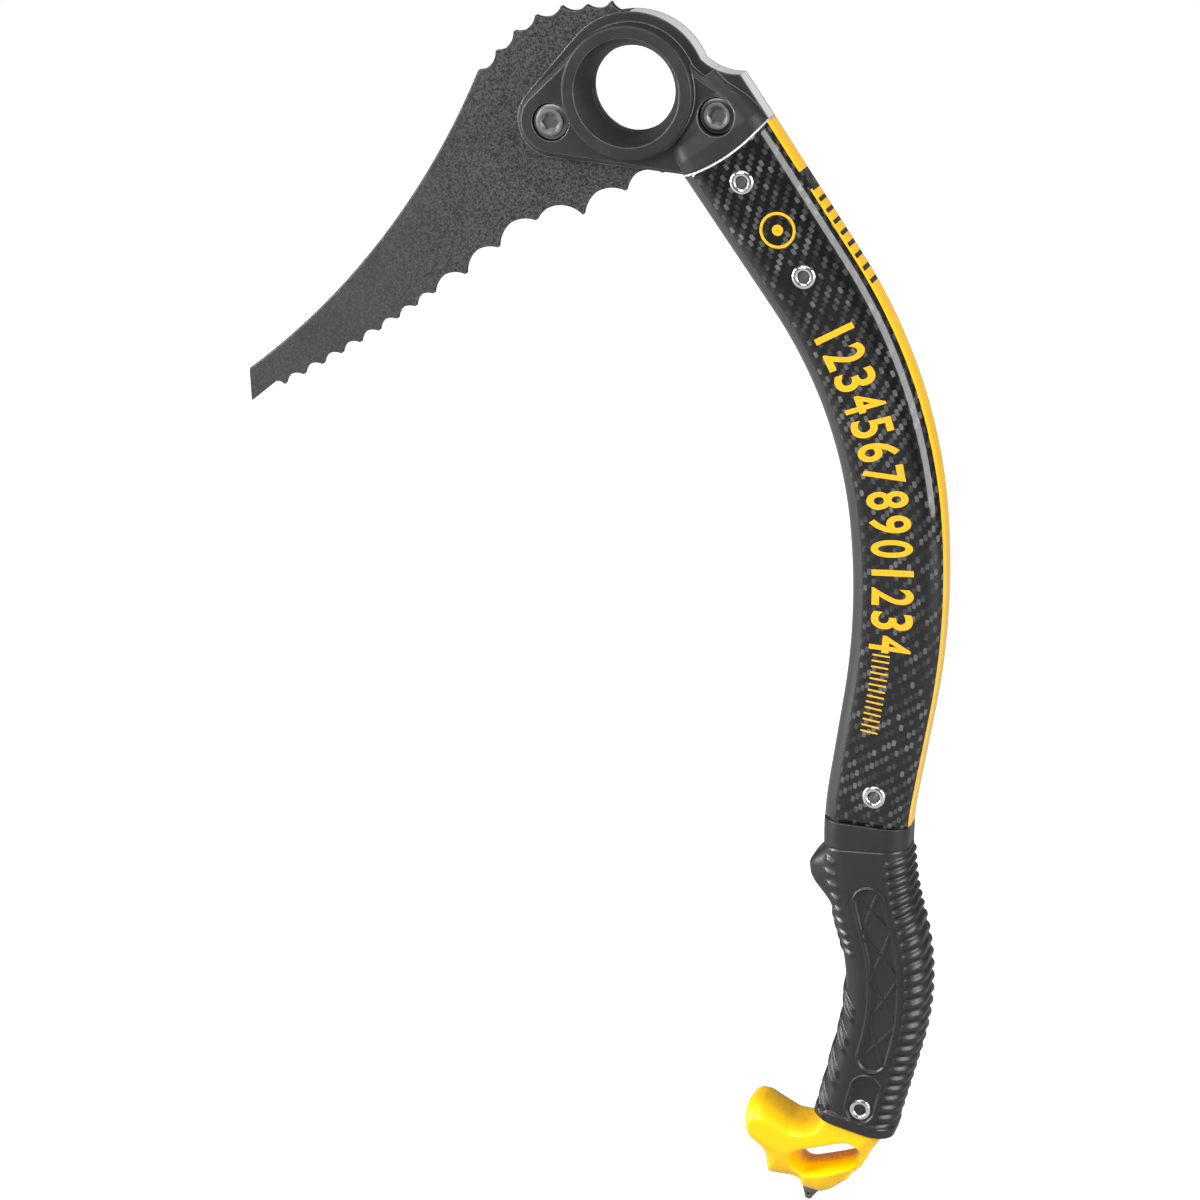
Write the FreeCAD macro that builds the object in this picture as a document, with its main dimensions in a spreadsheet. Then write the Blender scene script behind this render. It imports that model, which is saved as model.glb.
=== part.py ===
import FreeCAD, Part
import math
import os
import Sketcher

# A technical ice axe, standing with its spike down and its pick towards -X.
# The origin is the centre of the head's eye; +Z is up and the eye runs along Y.

V = FreeCAD.Vector
doc = FreeCAD.newDocument("ice_axe")

# Driving sizes in millimetres and degrees, one row each, grouped by piece
rows = [
    # how far a cut runs past the face it opens
    ("overrun", 1.0),
    # the eye and the forged boss round it
    ("eye_radius", 17.0),
    ("eye_throat", 5.0),
    ("eye_mouth_radius", 21.4),
    ("eye_flare", 0.36),
    ("boss_radius", 26.4),
    ("boss_edge", 0.9),
    ("boss_width", 28.8),
    # the head's cheeks and its spine
    ("spine_radius", 30.4),
    ("spine_width", 10.0),
    ("spine_ledge", 4.2),
    ("cheek_ledge", 1.3),
    ("spine_end_angle", 25.0),
    ("spine_dip", 1.6),
    ("cheek_width", 19.0),
    ("cheek_bevel", 1.5),
    ("lobe_radius", 14.8),
    ("shoulder_length", 20.0),
    ("collar_length", 27.0),
    ("collar_top_width", 28.0),
    ("collar_top_depth", 17.0),
    ("collar_top_corner", 5.7),
    ("collar_full_at", 4.0),
    ("collar_past", 1.5),
    ("mouth_x", 37.7),
    ("mouth_z", -20.5),
    ("mouth_bow", 3.0),
    ("tang_length", 70.0),
    ("tang_wall", 2.6),
    ("tang_root", 4.0),
    ("tang_solid", 9.0),
    ("tang_hollow_gap", 0.3),
    ("tang_gap", 0.2),
    # the bolts that clamp the pick, and their nuts
    ("front_bolt_x", -32.0),
    ("front_bolt_z", -13.6),
    ("rear_bolt_x", 35.4),
    ("rear_bolt_z", -8.0),
    ("bolt_radius", 4.0),
    ("bolt_hole_gap", 0.3),
    ("bolt_head_radius", 7.0),
    ("bolt_head_height", 4.4),
    ("bolt_head_crown", 1.4),
    ("bolt_key", 6.0),
    ("bolt_key_depth", 2.8),
    ("bolt_flat", 5.2),
    ("bolt_crown_bow", 0.25),
    ("bolt_mouth", 4.1),
    ("bolt_mouth_depth", 0.9),
    ("bolt_tip_bevel", 0.6),
    ("bolt_sink", 4.0),
    ("bolt_sink_gap", 0.6),
    ("nut_key", 13.0),
    ("nut_height", 5.2),
    ("nut_sink", 4.8),
    ("nut_gap", 0.15),
    ("nut_thread_gap", 0.05),
    # the pick
    ("pick_thickness", 4.0),
    ("pick_gap", 0.1),
    ("pick_ring_radius", 24.5),
    ("pick_lug_radius", 8.5),
    ("pick_heel_x", 11.4),
    ("pick_heel_z", -29.8),
    ("pick_heel_radius", 3.0),
    ("pick_bevel", 0.6),
    ("seam_x", -1.5),
    ("fine_pitch", 9.65),
    ("fine_lean", 36.6),
    ("fine_turn", 1.05),
    ("saw_sag", 0.25),
    ("crest_sag", 0.21),
    ("back_sag", 10.4),
    ("tip_height", 13.6),
    ("tip_set", 0.7),
    ("tip_reach", 14.5),
    ("tip_drop", 7.8),
    ("tip_land_x", 9.2),
    ("tip_land_z", 7.6),
    # the curved line that the shaft, the handle and the grip follow
    ("lean", 35.0),
    ("upper_run", 63.0),
    ("upper_bend_radius", 200.0),
    ("upper_bend", 29.0),
    ("middle_bend_radius", 296.0),
    ("middle_bend", 15.0),
    ("lower_run", 37.0),
    ("finger_bend_radius", 127.0),
    ("finger_bend", 26.0),
    ("palm_bend_radius", 95.0),
    ("palm_bend", 31.0),
    ("end_run", 39.5),
    # the shaft tube
    ("shaft_top_width", 41.6),
    ("shaft_top_depth", 26.0),
    ("shaft_top_corner", 9.5),
    ("shaft_low_width", 35.6),
    ("shaft_low_depth", 24.8),
    ("shaft_low_corner", 9.0),
    ("shaft_wall", 2.2),
    ("shaft_gap", 0.1),
    # the alloy tube inside the grip
    ("core_overlap", 30.0),
    ("core_gap", 0.1),
    ("core_wall", 2.0),
    # the tubular rivets and the spacer tube
    ("rivet_radius", 3.2),
    ("rivet_bore", 2.3),
    ("rivet_flange", 4.8),
    ("rivet_flange_height", 0.9),
    ("rivet_gap", 0.05),
    ("rivet_lift", 0.05),
    ("head_rivet_upper_at", 15.0),
    ("head_rivet_lower_at", 58.9),
    ("shaft_rivet_back", 13.1),
    ("pommel_rivet_back", 9.6),
    ("shaft_rivet_across", 2.6),
    ("pommel_rivet_across", 1.8),
    ("spacer_radius", 5.0),
    ("spacer_gap", 0.05),
    # the rubber grip
    ("grip_length", 135.2),
    ("grip_top_width", 35.6),
    ("grip_top_depth", 27.6),
    ("grip_corner", 10.0),
    ("grip_low_width", 32.4),
    ("grip_low_depth", 29.6),
    ("grip_gap", 0.1),
    ("lip_length", 4.3),
    ("lip_proud", 1.2),
    ("trigger_at", 22.0),
    ("trigger_reach", 24.4),
    ("trigger_width", 18.0),
    ("trigger_span", 24.0),
    ("trigger_root", 1.5),
    ("trigger_rise", 0.6),
    ("trigger_nose", 0.6),
    ("trigger_nose_up", 3.0),
    ("trigger_nose_down", 1.0),
    ("trigger_hollow", 0.8),
    ("trigger_sweep", 2.4),
    ("grip_pocket_radius", 5.2),
    ("grip_pocket_depth", 1.2),
    # the pommel, the spike and the spike's pin
    ("pommel_gap", 0.1),
    ("pommel_tang", 26.0),
    ("pommel_half", 14.5),
    ("neck_half", 14.0),
    ("neck_draw", 3.6),
    ("back_top", 1.0),
    ("back_tooth", 0.9),
    ("leash_low_x", -19.4),
    ("leash_low_z", -17.8),
    ("leash_high_x", -2.0),
    ("leash_high_z", -12.6),
    ("leash_radius", 4.4),
    ("leash_throat", 4.0),
    ("leash_flare", 3.0),
    ("leash_sink", 1.6),
    ("spike_down", 37.0),
    ("spike_across", 10.0),
    ("spike_radius", 3.6),
    ("spike_length", 7.2),
    ("spike_rim", 1.8),
    ("spike_eye_drop", 3.8),
    ("spike_tip_radius", 1.8),
    ("spike_shank_radius", 2.4),
    ("spike_shank_length", 7.6),
    ("spike_gap", 0.05),
    ("spike_eye_radius", 0.8),
    ("spike_pin_radius", 1.0),
    ("spike_pin_rise", 4.2),
    ("spike_pin_length", 12.0),
]

# Tips of the large teeth under the pick, from the head outwards
saw_tips = [(-3.5, -40.8), (-21.0, -51.4), (-40.5, -54.7), (-56.4, -66.6), (-70.1, -78.3), (-83.8, -87.1)]
# Tips of the teeth on the crest, from the head outwards
crest_tips = [(-9.8, 33.4), (-19.7, 31.7), (-29.9, 30.8), (-40.4, 26.8),
              (-49.3, 20.2), (-56.7, 12.2), (-64.1, 4.2)]
fine_teeth = 8
for name, tips in (("saw", saw_tips), ("crest", crest_tips)):
    for number, (x, z) in enumerate(tips, 1):
        rows.append((f"{name}_tip{number}_x", x))
        rows.append((f"{name}_tip{number}_z", z))

# The pommel's outline seen from the side, measured from the grip's end: along its middle and along its rims
pommel_points = [
    ((-14.4, -2.0), (-14.6, -3.7)),
    ((-19.9, -3.1), (-19.9, -6.0)),
    ((-26.6, -2.4), (-26.1, -6.0)),
    ((-33.1, 1.4), (-31.9, -3.6)),
    ((-39.1, 5.1), (-36.7, -1.2)),
    ((-42.7, 5.4), (-39.9, -1.0)),
    ((-45.1, 3.6), (-42.3, -1.8)),
    ((-45.9, 0.3), (-43.3, -3.4)),
    ((-45.7, -7.2), (-43.3, -5.6)),
    ((-44.0, -11.4), (-41.9, -7.6)),
    ((-38.4, -15.7), (-37.5, -10.8)),
    ((-37.4, -18.9), (-33.5, -12.4)),
    ((-36.5, -27.6), (-28.9, -13.6)),
    ((-25.9, -28.0), (-21.5, -14.6)),
    ((-22.6, -29.2), (-17.5, -15.2)),
    ((-21.9, -32.4), (-14.3, -15.4)),
    ((-13.6, -34.2), (-10.5, -15.2)),
    ((-0.6, -28.2), (-1.3, -12.8)),
]
back_teeth = 6
for number, ends in enumerate(pommel_points, 1):
    for place, (x, z) in zip(("middle", "rim"), ends):
        rows.append((f"pommel{number}_{place}_x", x))
        rows.append((f"pommel{number}_{place}_z", z))

sizes = doc.addObject("Spreadsheet::Sheet", "sizes")
for number, (alias, value) in enumerate(rows, 1):
    sizes.set(f"A{number}", str(value))
    sizes.setAlias(f"A{number}", alias)
doc.recompute()


def size(alias):
    return float(sizes.get(alias))


def tip(name, number):
    return (size(f"{name}_tip{number}_x"), size(f"{name}_tip{number}_z"))


def pommel_point(number, place):
    return (size(f"pommel{number}_{place}_x"), size(f"pommel{number}_{place}_z"))


# Plane geometry in X and Z

def polar(centre, radius, angle):
    turn = math.radians(angle)
    return (centre[0] + radius * math.cos(turn), centre[1] + radius * math.sin(turn))


def angle_of(dx, dz):
    return math.degrees(math.atan2(dz, dx))


def bulge(start, end, sag):
    """Middle of an arc whose height is sag, on the left of the way from start to end."""
    dx, dz = end[0] - start[0], end[1] - start[1]
    span = math.hypot(dx, dz)
    return ((start[0] + end[0]) / 2 - dz / span * sag, (start[1] + end[1]) / 2 + dx / span * sag)


def tangent(centre_one, radius_one, centre_two, radius_two):
    """Where the outer tangent on the right of the way from circle one to circle two touches them."""
    dx, dz = centre_two[0] - centre_one[0], centre_two[1] - centre_one[1]
    span = math.hypot(dx, dz)
    turn = (angle_of(dx, dz) - math.degrees(math.acos((radius_one - radius_two) / span)) + 90) % 360 - 90
    return polar(centre_one, radius_one, turn), polar(centre_two, radius_two, turn), turn


# The line that the shaft, the handle and the grip follow, as runs and bends from the head's mouth

def legs():
    return [
        ("run", size("upper_run"), 0.0),
        ("bend", size("upper_bend_radius"), -size("upper_bend")),
        ("bend", size("middle_bend_radius"), -size("middle_bend")),
        ("run", size("lower_run"), 0.0),
        ("bend", size("finger_bend_radius"), size("finger_bend")),
        ("bend", size("palm_bend_radius"), -size("palm_bend")),
        ("run", size("end_run"), 0.0),
    ]


def leg_length(kind, value, angle):
    return value if kind == "run" else value * math.radians(abs(angle))


def line_length():
    return sum(leg_length(*leg) for leg in legs())


def point_on_leg(origin, leg, distance):
    x, z, turn = origin
    kind, value, angle = leg
    lean = math.radians(turn)
    if kind == "run":
        return (x + math.sin(lean) * distance, z - math.cos(lean) * distance, turn)
    side = 1 if angle > 0 else -1
    swung = lean + side * distance / value
    return (x + side * value * (math.cos(lean) - math.cos(swung)),
            z + side * value * (math.sin(lean) - math.sin(swung)),
            math.degrees(swung))


def stretches(low, high):
    """The runs and bends between two distances along the line, each with its two ends and its middle."""
    origin = (size("mouth_x"), size("mouth_z"), size("lean"))
    passed = 0.0
    found = []
    for number_of, leg in enumerate(legs(), 1):
        length = leg_length(*leg)
        first = max(low, passed) if passed > 0 else low
        last = min(high, passed + length) if number_of < len(legs()) else high
        if last > first + 1e-6:
            spots = [point_on_leg(origin, leg, at - passed) for at in (first, (first + last) / 2, last)]
            found.append((leg[0], spots))
        origin = point_on_leg(origin, leg, length)
        passed += length
    return found


def station(at):
    """X, Z and lean of the line at a distance from the head's mouth."""
    if at < 1:
        return point_on_leg((size("mouth_x"), size("mouth_z"), size("lean")), legs()[0], at)
    return stretches(at - 1, at)[-1][1][2]


def beside(at, across, along=0.0):
    """X and Z of a point beside the line, to the right of it and further along it."""
    x, z, turn = station(at)
    lean = math.radians(turn)
    return (x + across * math.cos(lean) + along * math.sin(lean),
            z + across * math.sin(lean) - along * math.cos(lean))


# Bodies, sketches and features

def new_body(label):
    body = doc.addObject("PartDesign::Body", label)
    body.Label = label
    return body


def sketch_on(body, name, role, offset=None):
    sketch = body.newObject("Sketcher::SketchObject", f"{body.Name}_{name}")
    plane = next(feature for feature in body.Origin.OriginFeatures if feature.Role == role)
    sketch.AttachmentSupport = [(plane, "")]
    sketch.MapMode = "FlatFace"
    if offset is not None:
        sketch.AttachmentOffset = offset
    return sketch


def draw(sketch, start, moves):
    """Lines (one point) and arcs (middle and end) from a start point, tied end to end."""
    here = start
    for move in moves:
        if len(move) == 1:
            edge = Part.LineSegment(V(*here, 0), V(*move[0], 0))
        else:
            edge = Part.Arc(V(*here, 0), V(*move[0], 0), V(*move[1], 0))
        sketch.addGeometry(edge, False)
        here = move[-1]


def circle(sketch, x_size, z_size, radius_size):
    """A circle whose place and radius are bound to the sheet."""
    number = sketch.addGeometry(Part.Circle(V(1, 1, 0), V(0, 0, 1), 1.0), False)
    bound = (("DistanceX", x_size), ("DistanceY", z_size))
    for kind, text in bound:
        index = sketch.addConstraint(Sketcher.Constraint(kind, -1, 1, number, 3, 1.0))
        sketch.setExpression(f"Constraints[{index}]", text)
    index = sketch.addConstraint(Sketcher.Constraint("Radius", number, 1.0))
    sketch.setExpression(f"Constraints[{index}]", radius_size)


def rounded_section(sketch, wide, deep, corner):
    """A rectangle with round corners about the sketch's origin, bound to three expressions."""
    half, rise, curve = 4.0, 3.0, 1.0
    bow = curve * (1 - math.sqrt(0.5))
    draw(sketch, (curve - half, -rise), [
        ((half - curve, -rise),),
        ((half - bow, bow - rise), (half, curve - rise)),
        ((half, rise - curve),),
        ((half - bow, rise - bow), (half - curve, rise)),
        ((curve - half, rise),),
        ((bow - half, rise - bow), (-half, rise - curve)),
        ((-half, curve - rise),),
        ((bow - half, bow - rise), (curve - half, -rise)),
    ])
    ties = [Sketcher.Constraint("Tangent", edge, 2, (edge + 1) % 8, 1) for edge in range(8)]
    ties += [Sketcher.Constraint("Horizontal", edge) for edge in (0, 4)]
    ties += [Sketcher.Constraint("Vertical", edge) for edge in (2, 6)]
    ties += [Sketcher.Constraint("Equal", 1, edge) for edge in (3, 5, 7)]
    ties.append(Sketcher.Constraint("Symmetric", 0, 1, 4, 1, -1, 1))
    sketch.addConstraint(ties)
    bound = (
        (Sketcher.Constraint("Radius", 1, curve), corner),
        (Sketcher.Constraint("DistanceX", 6, 1, 2, 1, 2 * half), wide),
        (Sketcher.Constraint("DistanceY", 0, 1, 4, 1, 2 * rise), deep),
    )
    for constraint, text in bound:
        index = sketch.addConstraint(constraint)
        sketch.setExpression(f"Constraints[{index}]", text)


def section_at(body, name, at, wide, deep, corner):
    """A rounded section square to the line, at a distance from the head's mouth."""
    x, z, turn = station(at)
    facing = FreeCAD.Rotation(V(0, 1, 0), -turn) * FreeCAD.Rotation(V(1, 0, 0), 180)
    sketch = sketch_on(body, name, "XY_Plane", FreeCAD.Placement(V(x, 0, z), facing))
    rounded_section(sketch, wide, deep, corner)
    return sketch


def path_sketch(body, name, low, high):
    sketch = sketch_on(body, name, "XZ_Plane")
    for kind, spots in stretches(low, high):
        ends = [V(x, z, 0) for x, z, turn in spots]
        edge = Part.LineSegment(ends[0], ends[2]) if kind == "run" else Part.Arc(*ends)
        sketch.addGeometry(edge, False)
    return sketch


def sweep(body, kind, name, path, first, last=None):
    doc.recompute()
    pipe = body.newObject(kind, f"{body.Name}_{name}")
    pipe.Profile = first
    pipe.Spine = (path, [f"Edge{number + 1}" for number in range(path.GeometryCount)])
    if last is not None:
        pipe.Sections = [last]
        pipe.Transformation = "Multisection"
    doc.recompute()
    return pipe


def pad(body, name, sketch, length):
    """A pad to both sides of its sketch, its full length bound to an expression."""
    feature = body.newObject("PartDesign::Pad", f"{body.Name}_{name}")
    feature.Profile = sketch
    feature.Midplane = True
    feature.setExpression("Length", length)
    doc.recompute()
    return feature


def cut_through(body, name, sketch):
    before = body.Shape.Volume
    feature = body.newObject("PartDesign::Pocket", f"{body.Name}_{name}")
    feature.Profile = sketch
    feature.Type = "ThroughAll"
    feature.Midplane = True
    doc.recompute()
    must_shrink(body, name, before)
    return feature


def cut_middle(body, name, sketch, length):
    before = body.Shape.Volume
    feature = body.newObject("PartDesign::Pocket", f"{body.Name}_{name}")
    feature.Profile = sketch
    feature.Midplane = True
    feature.setExpression("Length", length)
    doc.recompute()
    must_shrink(body, name, before)
    return feature


def must_shrink(body, name, before):
    if body.Shape.Volume >= before - 1e-6:
        raise RuntimeError(f"{name} cut nothing from {body.Label}")


def turn_solid(body, kind, name, sketch):
    """A revolution or groove about the sketch's own vertical axis or its horizontal one."""
    feature = body.newObject(kind, f"{body.Name}_{name}")
    feature.Profile = sketch
    feature.ReferenceAxis = (sketch, ["H_Axis"])
    feature.Angle = 360
    doc.recompute()
    return feature


def side_cut(body, name, draw_profile, from_y, to_y):
    """A pocket along Y between two heights, whose sketch lies at from_y and faces to_y."""
    before = body.Shape.Volume
    sketch = sketch_on(body, f"{name}_sketch", "XZ_Plane")
    sketch.setExpression("AttachmentOffset.Base.z", f"-({from_y})")
    draw_profile(sketch)
    feature = body.newObject("PartDesign::Pocket", f"{body.Name}_{name}")
    feature.Profile = sketch
    feature.setExpression("Length", f"abs(({to_y}) - ({from_y}))")
    feature.Reversed = worth(from_y) > worth(to_y)
    doc.recompute()
    must_shrink(body, name, before)
    return feature


def worth(text):
    return float(sizes.evalExpression(text))


def bevel_edges(body, name, setback, choose):
    names = [f"Edge{index + 1}" for index, edge in enumerate(body.Shape.Edges) if choose(edge)]
    base = body.Tip
    feature = body.newObject("PartDesign::Chamfer", f"{body.Name}_{name}")
    feature.Base = (base, names)
    feature.setExpression("Size", setback)
    doc.recompute()
    return feature


def lies_at(edge, height):
    box = edge.BoundBox
    return abs(box.YMin - height) < 1e-4 and abs(box.YMax - height) < 1e-4


# Places that several pieces share

eye = (0.0, 0.0)
front_bolt = (size("front_bolt_x"), size("front_bolt_z"))
rear_bolt = (size("rear_bolt_x"), size("rear_bolt_z"))


def mouth_arc(gap):
    """The bowed seam between head and shaft, from its inner corner over its middle to its outer one."""
    half = size("shaft_top_width") / 2
    return beside(0, -half, gap), beside(0, 0, size("mouth_bow") + gap), beside(0, half, gap)


def grip_start():
    return line_length() - size("grip_length")


def shaft_section(at, inset):
    """Width, depth and corner of the tapered shaft at a distance along it, drawn in by an inset."""
    share = at / grip_start()
    sides = [f"sizes.shaft_top_{side} + {share} * (sizes.shaft_low_{side} - sizes.shaft_top_{side})"
             for side in ("width", "depth", "corner")]
    return f"{sides[0]} - 2 * ({inset})", f"{sides[1]} - 2 * ({inset})", f"{sides[2]} - ({inset})"


def rivet_at(name):
    """Distance of a rivet along the line, some of them counted back from the shaft's or the grip's end."""
    if name == "shaft_rivet":
        return grip_start() - size("shaft_rivet_back")
    if name == "pommel_rivet":
        return line_length() - size("pommel_rivet_back")
    return size(f"{name}_at")


def rivet_place(name):
    across = size(f"{name}_across") if name in ("shaft_rivet", "pommel_rivet") else 0.0
    return beside(rivet_at(name), across)


def from_grip_end(x, z):
    end_x, end_z, turn = station(line_length())
    return end_x + x, end_z + z


def rivet_hole(body, name, radius):
    x, z = rivet_place(name)
    sketch = sketch_on(body, f"{name}_hole_sketch", "XZ_Plane")
    draw_round(sketch, x, z, radius)
    cut_through(body, f"{name}_hole", sketch)


def draw_round(sketch, x, z, radius):
    """A circle at a place on the curved line, its radius bound to an expression."""
    number_of = sketch.addGeometry(Part.Circle(V(x, z, 0), V(0, 0, 1), 1.0), False)
    index = sketch.addConstraint(Sketcher.Constraint("Radius", number_of, 1.0))
    sketch.setExpression(f"Constraints[{index}]", radius)


def draw_hexagon(sketch, x, z, key):
    corners = [polar((x, z), key / math.sqrt(3), 60 * side) for side in range(7)]
    draw(sketch, corners[0], [(corner,) for corner in corners[1:]])


# The pick: a toothed steel plate whose rear ring and lug lie between the head's cheeks

def pick_rear(gap):
    """The hidden edge from the seam at the top round to the heel, grown by a gap."""
    ring = size("pick_ring_radius") + gap
    lug = size("pick_lug_radius") + gap
    heel = (size("pick_heel_x"), size("pick_heel_z"))
    heel_radius = size("pick_heel_radius") + gap
    top_x = size("seam_x") + gap
    inner = (top_x, math.sqrt(ring ** 2 - top_x ** 2))
    lug_one, ring_one, upper = tangent(rear_bolt, lug, eye, ring)
    heel_one, lug_two, lower = tangent(heel, heel_radius, rear_bolt, lug)
    ring_middle = polar(eye, ring, (angle_of(*inner) + upper) / 2)
    lug_middle = polar(rear_bolt, lug, (upper + lower) / 2)
    return inner, [(ring_middle, ring_one), (lug_one,), (lug_middle, lug_two), (heel_one,)]


def make_pick():
    body = new_body("pick")
    sketch = sketch_on(body, "outline", "XZ_Plane")
    seam = (size("seam_x"), math.sqrt(size("spine_radius") ** 2 - size("seam_x") ** 2))
    inner, moves = pick_rear(0.0)
    moves = [(inner,)] + moves
    heel = (size("pick_heel_x"), size("pick_heel_z"))
    heel_low = (heel[0], heel[1] - size("pick_heel_radius"))
    moves.append((polar(heel, size("pick_heel_radius"), -70), heel_low))
    here = heel_low
    saws = [tip("saw", number + 1) for number in range(len(saw_tips))]
    lean = size("fine_lean")
    for tooth in range(fine_teeth):
        saws.append(polar(saws[-1], size("fine_pitch"), 180 + lean - size("fine_turn") * tooth))
    for spot in saws:
        moves.append((bulge(here, spot, -math.dist(here, spot) * size("saw_sag")), spot))
        here = spot
    low_tip = (here[0] - size("tip_reach"), here[1] - size("tip_drop"))
    land = (low_tip[0] + size("tip_land_x"), low_tip[1] + size("tip_land_z"))
    moves.append((bulge(here, land, -math.dist(here, land) * size("saw_sag")), land))
    high_tip = (low_tip[0] - size("tip_set"), low_tip[1] + size("tip_height"))
    moves += [(low_tip,), (high_tip,)]
    crests = [tip("crest", number + 1) for number in range(len(crest_tips))]
    crests.reverse()
    moves.append((bulge(high_tip, crests[0], -size("back_sag")), crests[0]))
    here = crests[0]
    for spot in crests[1:] + [seam]:
        moves.append((bulge(here, spot, -math.dist(here, spot) * size("crest_sag")), spot))
        here = spot
    draw(sketch, seam, moves)
    pad(body, "plate", sketch, "sizes.pick_thickness")
    holes = sketch_on(body, "holes", "XZ_Plane")
    circle(holes, "0", "0", "sizes.eye_radius")
    for bolt in ("front", "rear"):
        circle(holes, f"sizes.{bolt}_bolt_x", f"sizes.{bolt}_bolt_z", "sizes.bolt_radius + sizes.bolt_hole_gap")
    cut_through(body, "holes_cut", holes)
    half = size("pick_thickness") / 2

    def along_back(edge):
        return edge.Length > 100 and (lies_at(edge, half) or lies_at(edge, -half))
    bevel_edges(body, "back_bevel", "sizes.pick_bevel", along_back)
    return body


# The head: a forging with two cheeks, a boss round the eye, a spine and a hollow tang

def head_outline(body, name, inset, edge, height=0.0):
    """The head seen from the side, its spine drawn back by an inset and its other edges by an edge."""
    sketch = sketch_on(body, name, "XZ_Plane", FreeCAD.Placement(V(0, 0, height), FreeCAD.Rotation()))
    spine = size("spine_radius") - inset
    lobe = size("lobe_radius") - edge
    half = size("shaft_top_width") / 2
    _, mid_mouth, high_mouth = mouth_arc(0.0)
    low_mouth = beside(0, edge - half)
    high_mouth = beside(0, half - edge)
    shoulder = beside(inset * 1.2 - size("shoulder_length"), half - inset)
    spine_end = polar(eye, spine, size("spine_end_angle"))
    spine_top, lobe_top, high = tangent(eye, spine, front_bolt, lobe)
    spine_middle = polar(eye, spine, (size("spine_end_angle") + high) / 2)
    to_corner = angle_of(low_mouth[0] - front_bolt[0], low_mouth[1] - front_bolt[1])
    reach = math.dist(front_bolt, low_mouth)
    low = to_corner - math.degrees(math.acos(lobe / reach)) + 360
    lobe_low = polar(front_bolt, lobe, low)
    lobe_middle = polar(front_bolt, lobe, (high + low) / 2)
    dip = bulge(shoulder, spine_end, size("spine_dip"))
    draw(sketch, low_mouth, [
        (mid_mouth, high_mouth),
        (shoulder,),
        (dip, spine_end),
        (spine_middle, spine_top),
        (lobe_top,),
        (lobe_middle, lobe_low),
        (low_mouth,)])
    return sketch


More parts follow.
